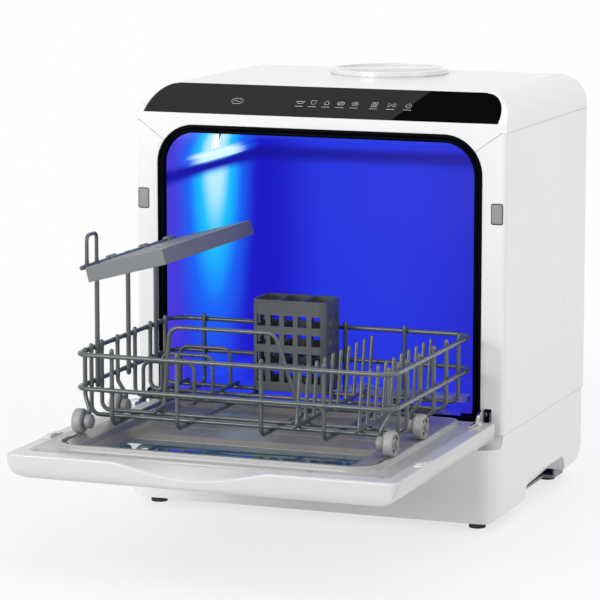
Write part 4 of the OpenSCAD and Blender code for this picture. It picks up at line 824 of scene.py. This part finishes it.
def wire(node, points, thick, bend=9.0, across=(0.31, 0.4, 0.2), closed=False):
    """Notes a wire: its centreline in the basket's frame, cut into steps of about STEP mm."""
    line = np.asarray(points, float) if closed else bent(points, bend)
    ends = np.concatenate((line, line[:1])) if closed else line
    knots = np.concatenate(([0], np.cumsum(np.linalg.norm(np.diff(ends, axis=0), axis=1))))
    even = np.arange(STEP, knots[-1], STEP)
    even = even[np.abs(even[:, None] - knots).min(1) > 0.4 * STEP]
    along = np.sort(np.concatenate((knots[:-1] if closed else knots, even)))
    path = np.stack([np.interp(along, knots, ends[:, k]) for k in range(3)], 1)
    wires.append((node, path + [0.0, AXLE_Y, AXLE_Z], thick / 2, across, closed))


rim_way, _ = rounded(RIM_X, -3.0, 253.0, 15.0, 20.0, 2, 8)
for z in (34.0, 69.0):
    hoop = np.column_stack([rim_way, np.full(len(rim_way), z)])
    wire("basket_rims", hoop, RIM_D, across=(0, 0, 1), closed=True)
# A floor wire runs down at one end of the basket, along or across its floor, and up at the other
NEAR_A, FAR_A = 1.8, 248.2
for x in (-133.0, -61.0, 30.0, 97.0):
    way = [(x, NEAR_A, TOP_Z), (x, NEAR_A, FLOOR_Z), (x, FAR_A, FLOOR_Z), (x, FAR_A, TOP_Z)]
    wire("lengthwise_wires", way, WIRE_D, across=(1, 0, 0))
for a in (26.0, 52.0, 137.0, 178.0, 219.0):
    way = [(-UP_X, a, TOP_Z), (-UP_X, a, CROSS_Z), (UP_X, a, CROSS_Z), (UP_X, a, TOP_Z)]
    wire("crosswise_wires", way, WIRE_D, across=(0, 1, 0))
# A strut is cranked inwards, from the upper rim to the bracket on its wheel's axle
STRUT_TOP, CRANK_TOP, CRANK_LOW, STRUT_LOW = 73, 26, 12, 9
FRONT_STRUT, REAR_STRUT = (164.0, 4.6, 0, (1, 0, 0)), (UP_X, WHEELBASE, WHEELBASE, (0, 1, 0))
for side in (-1, 1):
    for top_x, top_a, axle_a, across in (FRONT_STRUT, REAR_STRUT):
        way = [(side * top_x, top_a, STRUT_TOP), (side * top_x, top_a, CRANK_TOP),
               (side * FOOT_X, axle_a, CRANK_LOW), (side * FOOT_X, axle_a, STRUT_LOW)]
        wire("wheel_struts", way, WIRE_D, across=across)
# Two rows of leaning tines, each on its own rod
TINE_LEAN, TINE_H = radians(10), 56.0
for x in (62.0, 128.0):
    wire("plate_tines", [(x, 12, REST_Z), (x, 236, REST_Z)], FINE_D, across=(0, 0, 1))
    for a in range(18, 235, 24):
        tip = (x, a + TINE_H * sin(TINE_LEAN), REST_Z + TINE_H * cos(TINE_LEAN))
        wire("plate_tines", [(x, a, REST_Z), tip], FINE_D, across=(1, 0, 0))
# One tall loop at the front, and three low ones that stand on two rods at the left
LOOP_TOP, LOW_TOP, LOW_X0, LOW_X1, LOW_FOOT = REST_Z + 84.5, REST_Z + 40, -141, -83, 6
way = [(-101, 38, REST_Z), (-101, 62, REST_Z), (-94.2, 62, LOOP_TOP), (21.3, 62, LOOP_TOP),
       (51, 62, REST_Z), (51, 38, REST_Z)]
wire("cup_loops", way, WIRE_D, 12.0, across=(0.5, 1, 0.35))
for a in (100.0, 150.0, 200.0):
    way = [(LOW_X0, a, LOW_FOOT), (LOW_X0, a, LOW_TOP), (LOW_X1, a, LOW_TOP), (LOW_X1, a, LOW_FOOT)]
    wire("cup_loops", way, FINE_D, across=(0, 1, 0))
for x in (LOW_X0, LOW_X1):
    wire("cup_loops", [(x, 92, REST_Z), (x, 222, REST_Z)], FINE_D, across=(0, 0, 1))
# Three posts carry the rod that the shelf hinges on, with a stop loop at its front
SHELF_Z, STOP_Z = 157.0, 189.0
for a in (41.0, 120.0, 193.0):
    wire("shelf_posts", [(ROD_X, a, 30), (ROD_X, a, SHELF_Z)], RIM_D, across=(1, 0, 0))
wire("shelf_posts", [(ROD_X, 4.5, SHELF_Z), (ROD_X, 245.5, SHELF_Z)], RIM_D, across=(1, 0, 0))
way = [(ROD_X, 17, SHELF_Z), (ROD_X, 17, STOP_Z), (ROD_X, 41, STOP_Z), (ROD_X, 41, SHELF_Z)]
wire("shelf_posts", way, FINE_D, 6.0, across=(1, 0, 0))

nylon = moulded(
    "nylon_coating", (0.085, 0.098, 0.10), 0.27, grain=0.00004, fine=500.0, shade=0.25,
    Coat_Weight=0.4, Coat_Roughness=0.2,
)
# The coat is thicker where another wire is near: radius * (1 + SWELL * exp(-(gap / SWELL_REACH)^2))
SWELL, SWELL_REACH = 0.13, 1.3
stations = np.concatenate([w[1] for w in wires]).astype(np.float32)
owner = np.concatenate([np.full(len(w[1]), k) for k, w in enumerate(wires)])
thickness = np.concatenate([np.full(len(w[1]), w[2]) for w in wires]).astype(np.float32)
drawn = {}
for k, (node, path, half, across, closed) in enumerate(wires):
    others = owner != k
    apart = np.linalg.norm(path[:, None].astype(np.float32) - stations[others], axis=2)
    gaps = apart - thickness[others] - half
    swell = SWELL * np.exp(-((np.clip(gaps.min(1), 0, None) / SWELL_REACH) ** 2))
    drawn.setdefault(node, []).append(tube(path, half * (1 + swell), across, 12, closed))
for node, tubes in drawn.items():
    surface(node + "_coated", tubes, nylon, node)

# Cup shelf and cutlery holder
# Two grey polypropylene mouldings: a slotted shelf that folds up on the posts' rod, and a holder with
# three cells and windowed walls.
shelf_grey = moulded("shelf_plastic", (0.16, 0.17, 0.175), 0.42, grain=0.00005)
eased(shelf_grey, 0.7, "cup_shelf")
holder_grey = moulded("holder_plastic", (0.085, 0.095, 0.10), 0.42, grain=0.00005)
eased(holder_grey, 0.4, "cutlery_holder")

# Floor, light and camera
# A pale studio floor that fades into the white behind, broad soft lamps, and the camera at the
# photo's angle.
floor_paint = Finish("floor_paint", (0.88, 0.88, 0.885), 0.45)
mesh = bpy.data.meshes.new("floor")
mesh.from_pydata([(-40, -40, 0), (40, -40, 0), (40, 40, 0), (-40, 40, 0)], [], [(0, 1, 2, 3)])
floor = bpy.data.objects.new("floor", mesh)
bpy.context.scene.collection.objects.link(floor)
mesh.materials.append(floor_paint.material)
glow = floor_paint.node("ShaderNodeEmission", (1.0, 1.0, 1.0, 1.0), 1.0)
# The floor glows only for rays that look at it, so that it keeps the shadow in its share of paint
LOOKING = ("Is Camera Ray", "Is Glossy Ray", "Is Transmission Ray")
rays = floor_paint.nodes.new("ShaderNodeLightPath")
seen = [Sock(floor_paint, rays.outputs[k]) for k in LOOKING]
looked_at = floor_paint.node(
    "ShaderNodeMath", seen[0] + seen[1], seen[2], operation="ADD", use_clamp=True
)
far = floor_paint.away((0.0, 0.0, 0.0)).band(0.55, 1.6)
NEAR_GLOW = 0.72
share = looked_at * (far * (1.0 - NEAR_GLOW) + NEAR_GLOW)
both = floor_paint.nodes.new("ShaderNodeMixShader")
floor_paint.links.new(share.out, both.inputs[0])
floor_paint.links.new(floor_paint.shader.outputs[0], both.inputs[1])
floor_paint.links.new(glow.out, both.inputs[2])
floor_paint.links.new(both.outputs[0], floor_paint.nodes["Material Output"].inputs["Surface"])

AMBIENT = 0.55
world = bpy.data.worlds.new("studio")
bpy.context.scene.world = world
world.use_nodes = True
sky = world.node_tree.nodes["Background"]
# Strength 1 where a ray looks at the background, and AMBIENT where it only lights the machine
sky_rays = world.node_tree.nodes.new("ShaderNodeLightPath")
sum_so_far = None
for k in LOOKING:
    term = world.node_tree.nodes.new("ShaderNodeMath")
    term.operation = "MULTIPLY_ADD"
    world.node_tree.links.new(sky_rays.outputs[k], term.inputs[0])
    term.inputs[1].default_value = 1.0 - AMBIENT
    if sum_so_far:
        world.node_tree.links.new(sum_so_far.outputs[0], term.inputs[2])
    else:
        term.inputs[2].default_value = AMBIENT
    sum_so_far = term
world.node_tree.links.new(sum_so_far.outputs[0], sky.inputs["Strength"])
sky.inputs["Color"].default_value = (1.0, 1.0, 1.0, 1.0)


def softbox(name, place, aim, size, power):
    """A rectangular lamp at place that faces aim, with its size in metres and its power in watts."""
    data = bpy.data.lights.new(name, "AREA")
    data.shape = "RECTANGLE"
    data.size, data.size_y = size
    data.energy = power
    made = bpy.data.objects.new(name, data)
    bpy.context.scene.collection.objects.link(made)
    made.location = place
    made.rotation_euler = (Vector(aim) - Vector(place)).to_track_quat("-Z", "Y").to_euler()


softbox("key", (-1.3, -2.7, 1.0), (0, 0, 0.25), (1.6, 1.0), 47)
softbox("top", (0.2, 0.3, 2.2), (0, 0, 0.2), (1.8, 1.8), 12)
softbox("right", (2.2, -0.3, 0.9), (0.2, 0, 0.2), (1.4, 1.2), 9)

# The camera was fitted to the casing's corners and the basket's rims in the photo
LOOKS_DOWN, TURNED_LEFT, LENS = radians(8.951), radians(20.760), 189.80
camera = bpy.data.objects.new("camera", bpy.data.cameras.new("camera"))
camera.data.sensor_width = 36.0
camera.data.lens = LENS
bpy.context.scene.collection.objects.link(camera)
camera.location = (1.16777, -3.12586, 0.75894)
camera.rotation_euler = (radians(90.0) - LOOKS_DOWN, 0.0, TURNED_LEFT)
bpy.context.scene.camera = camera
bpy.context.scene.view_settings.view_transform = "Standard"
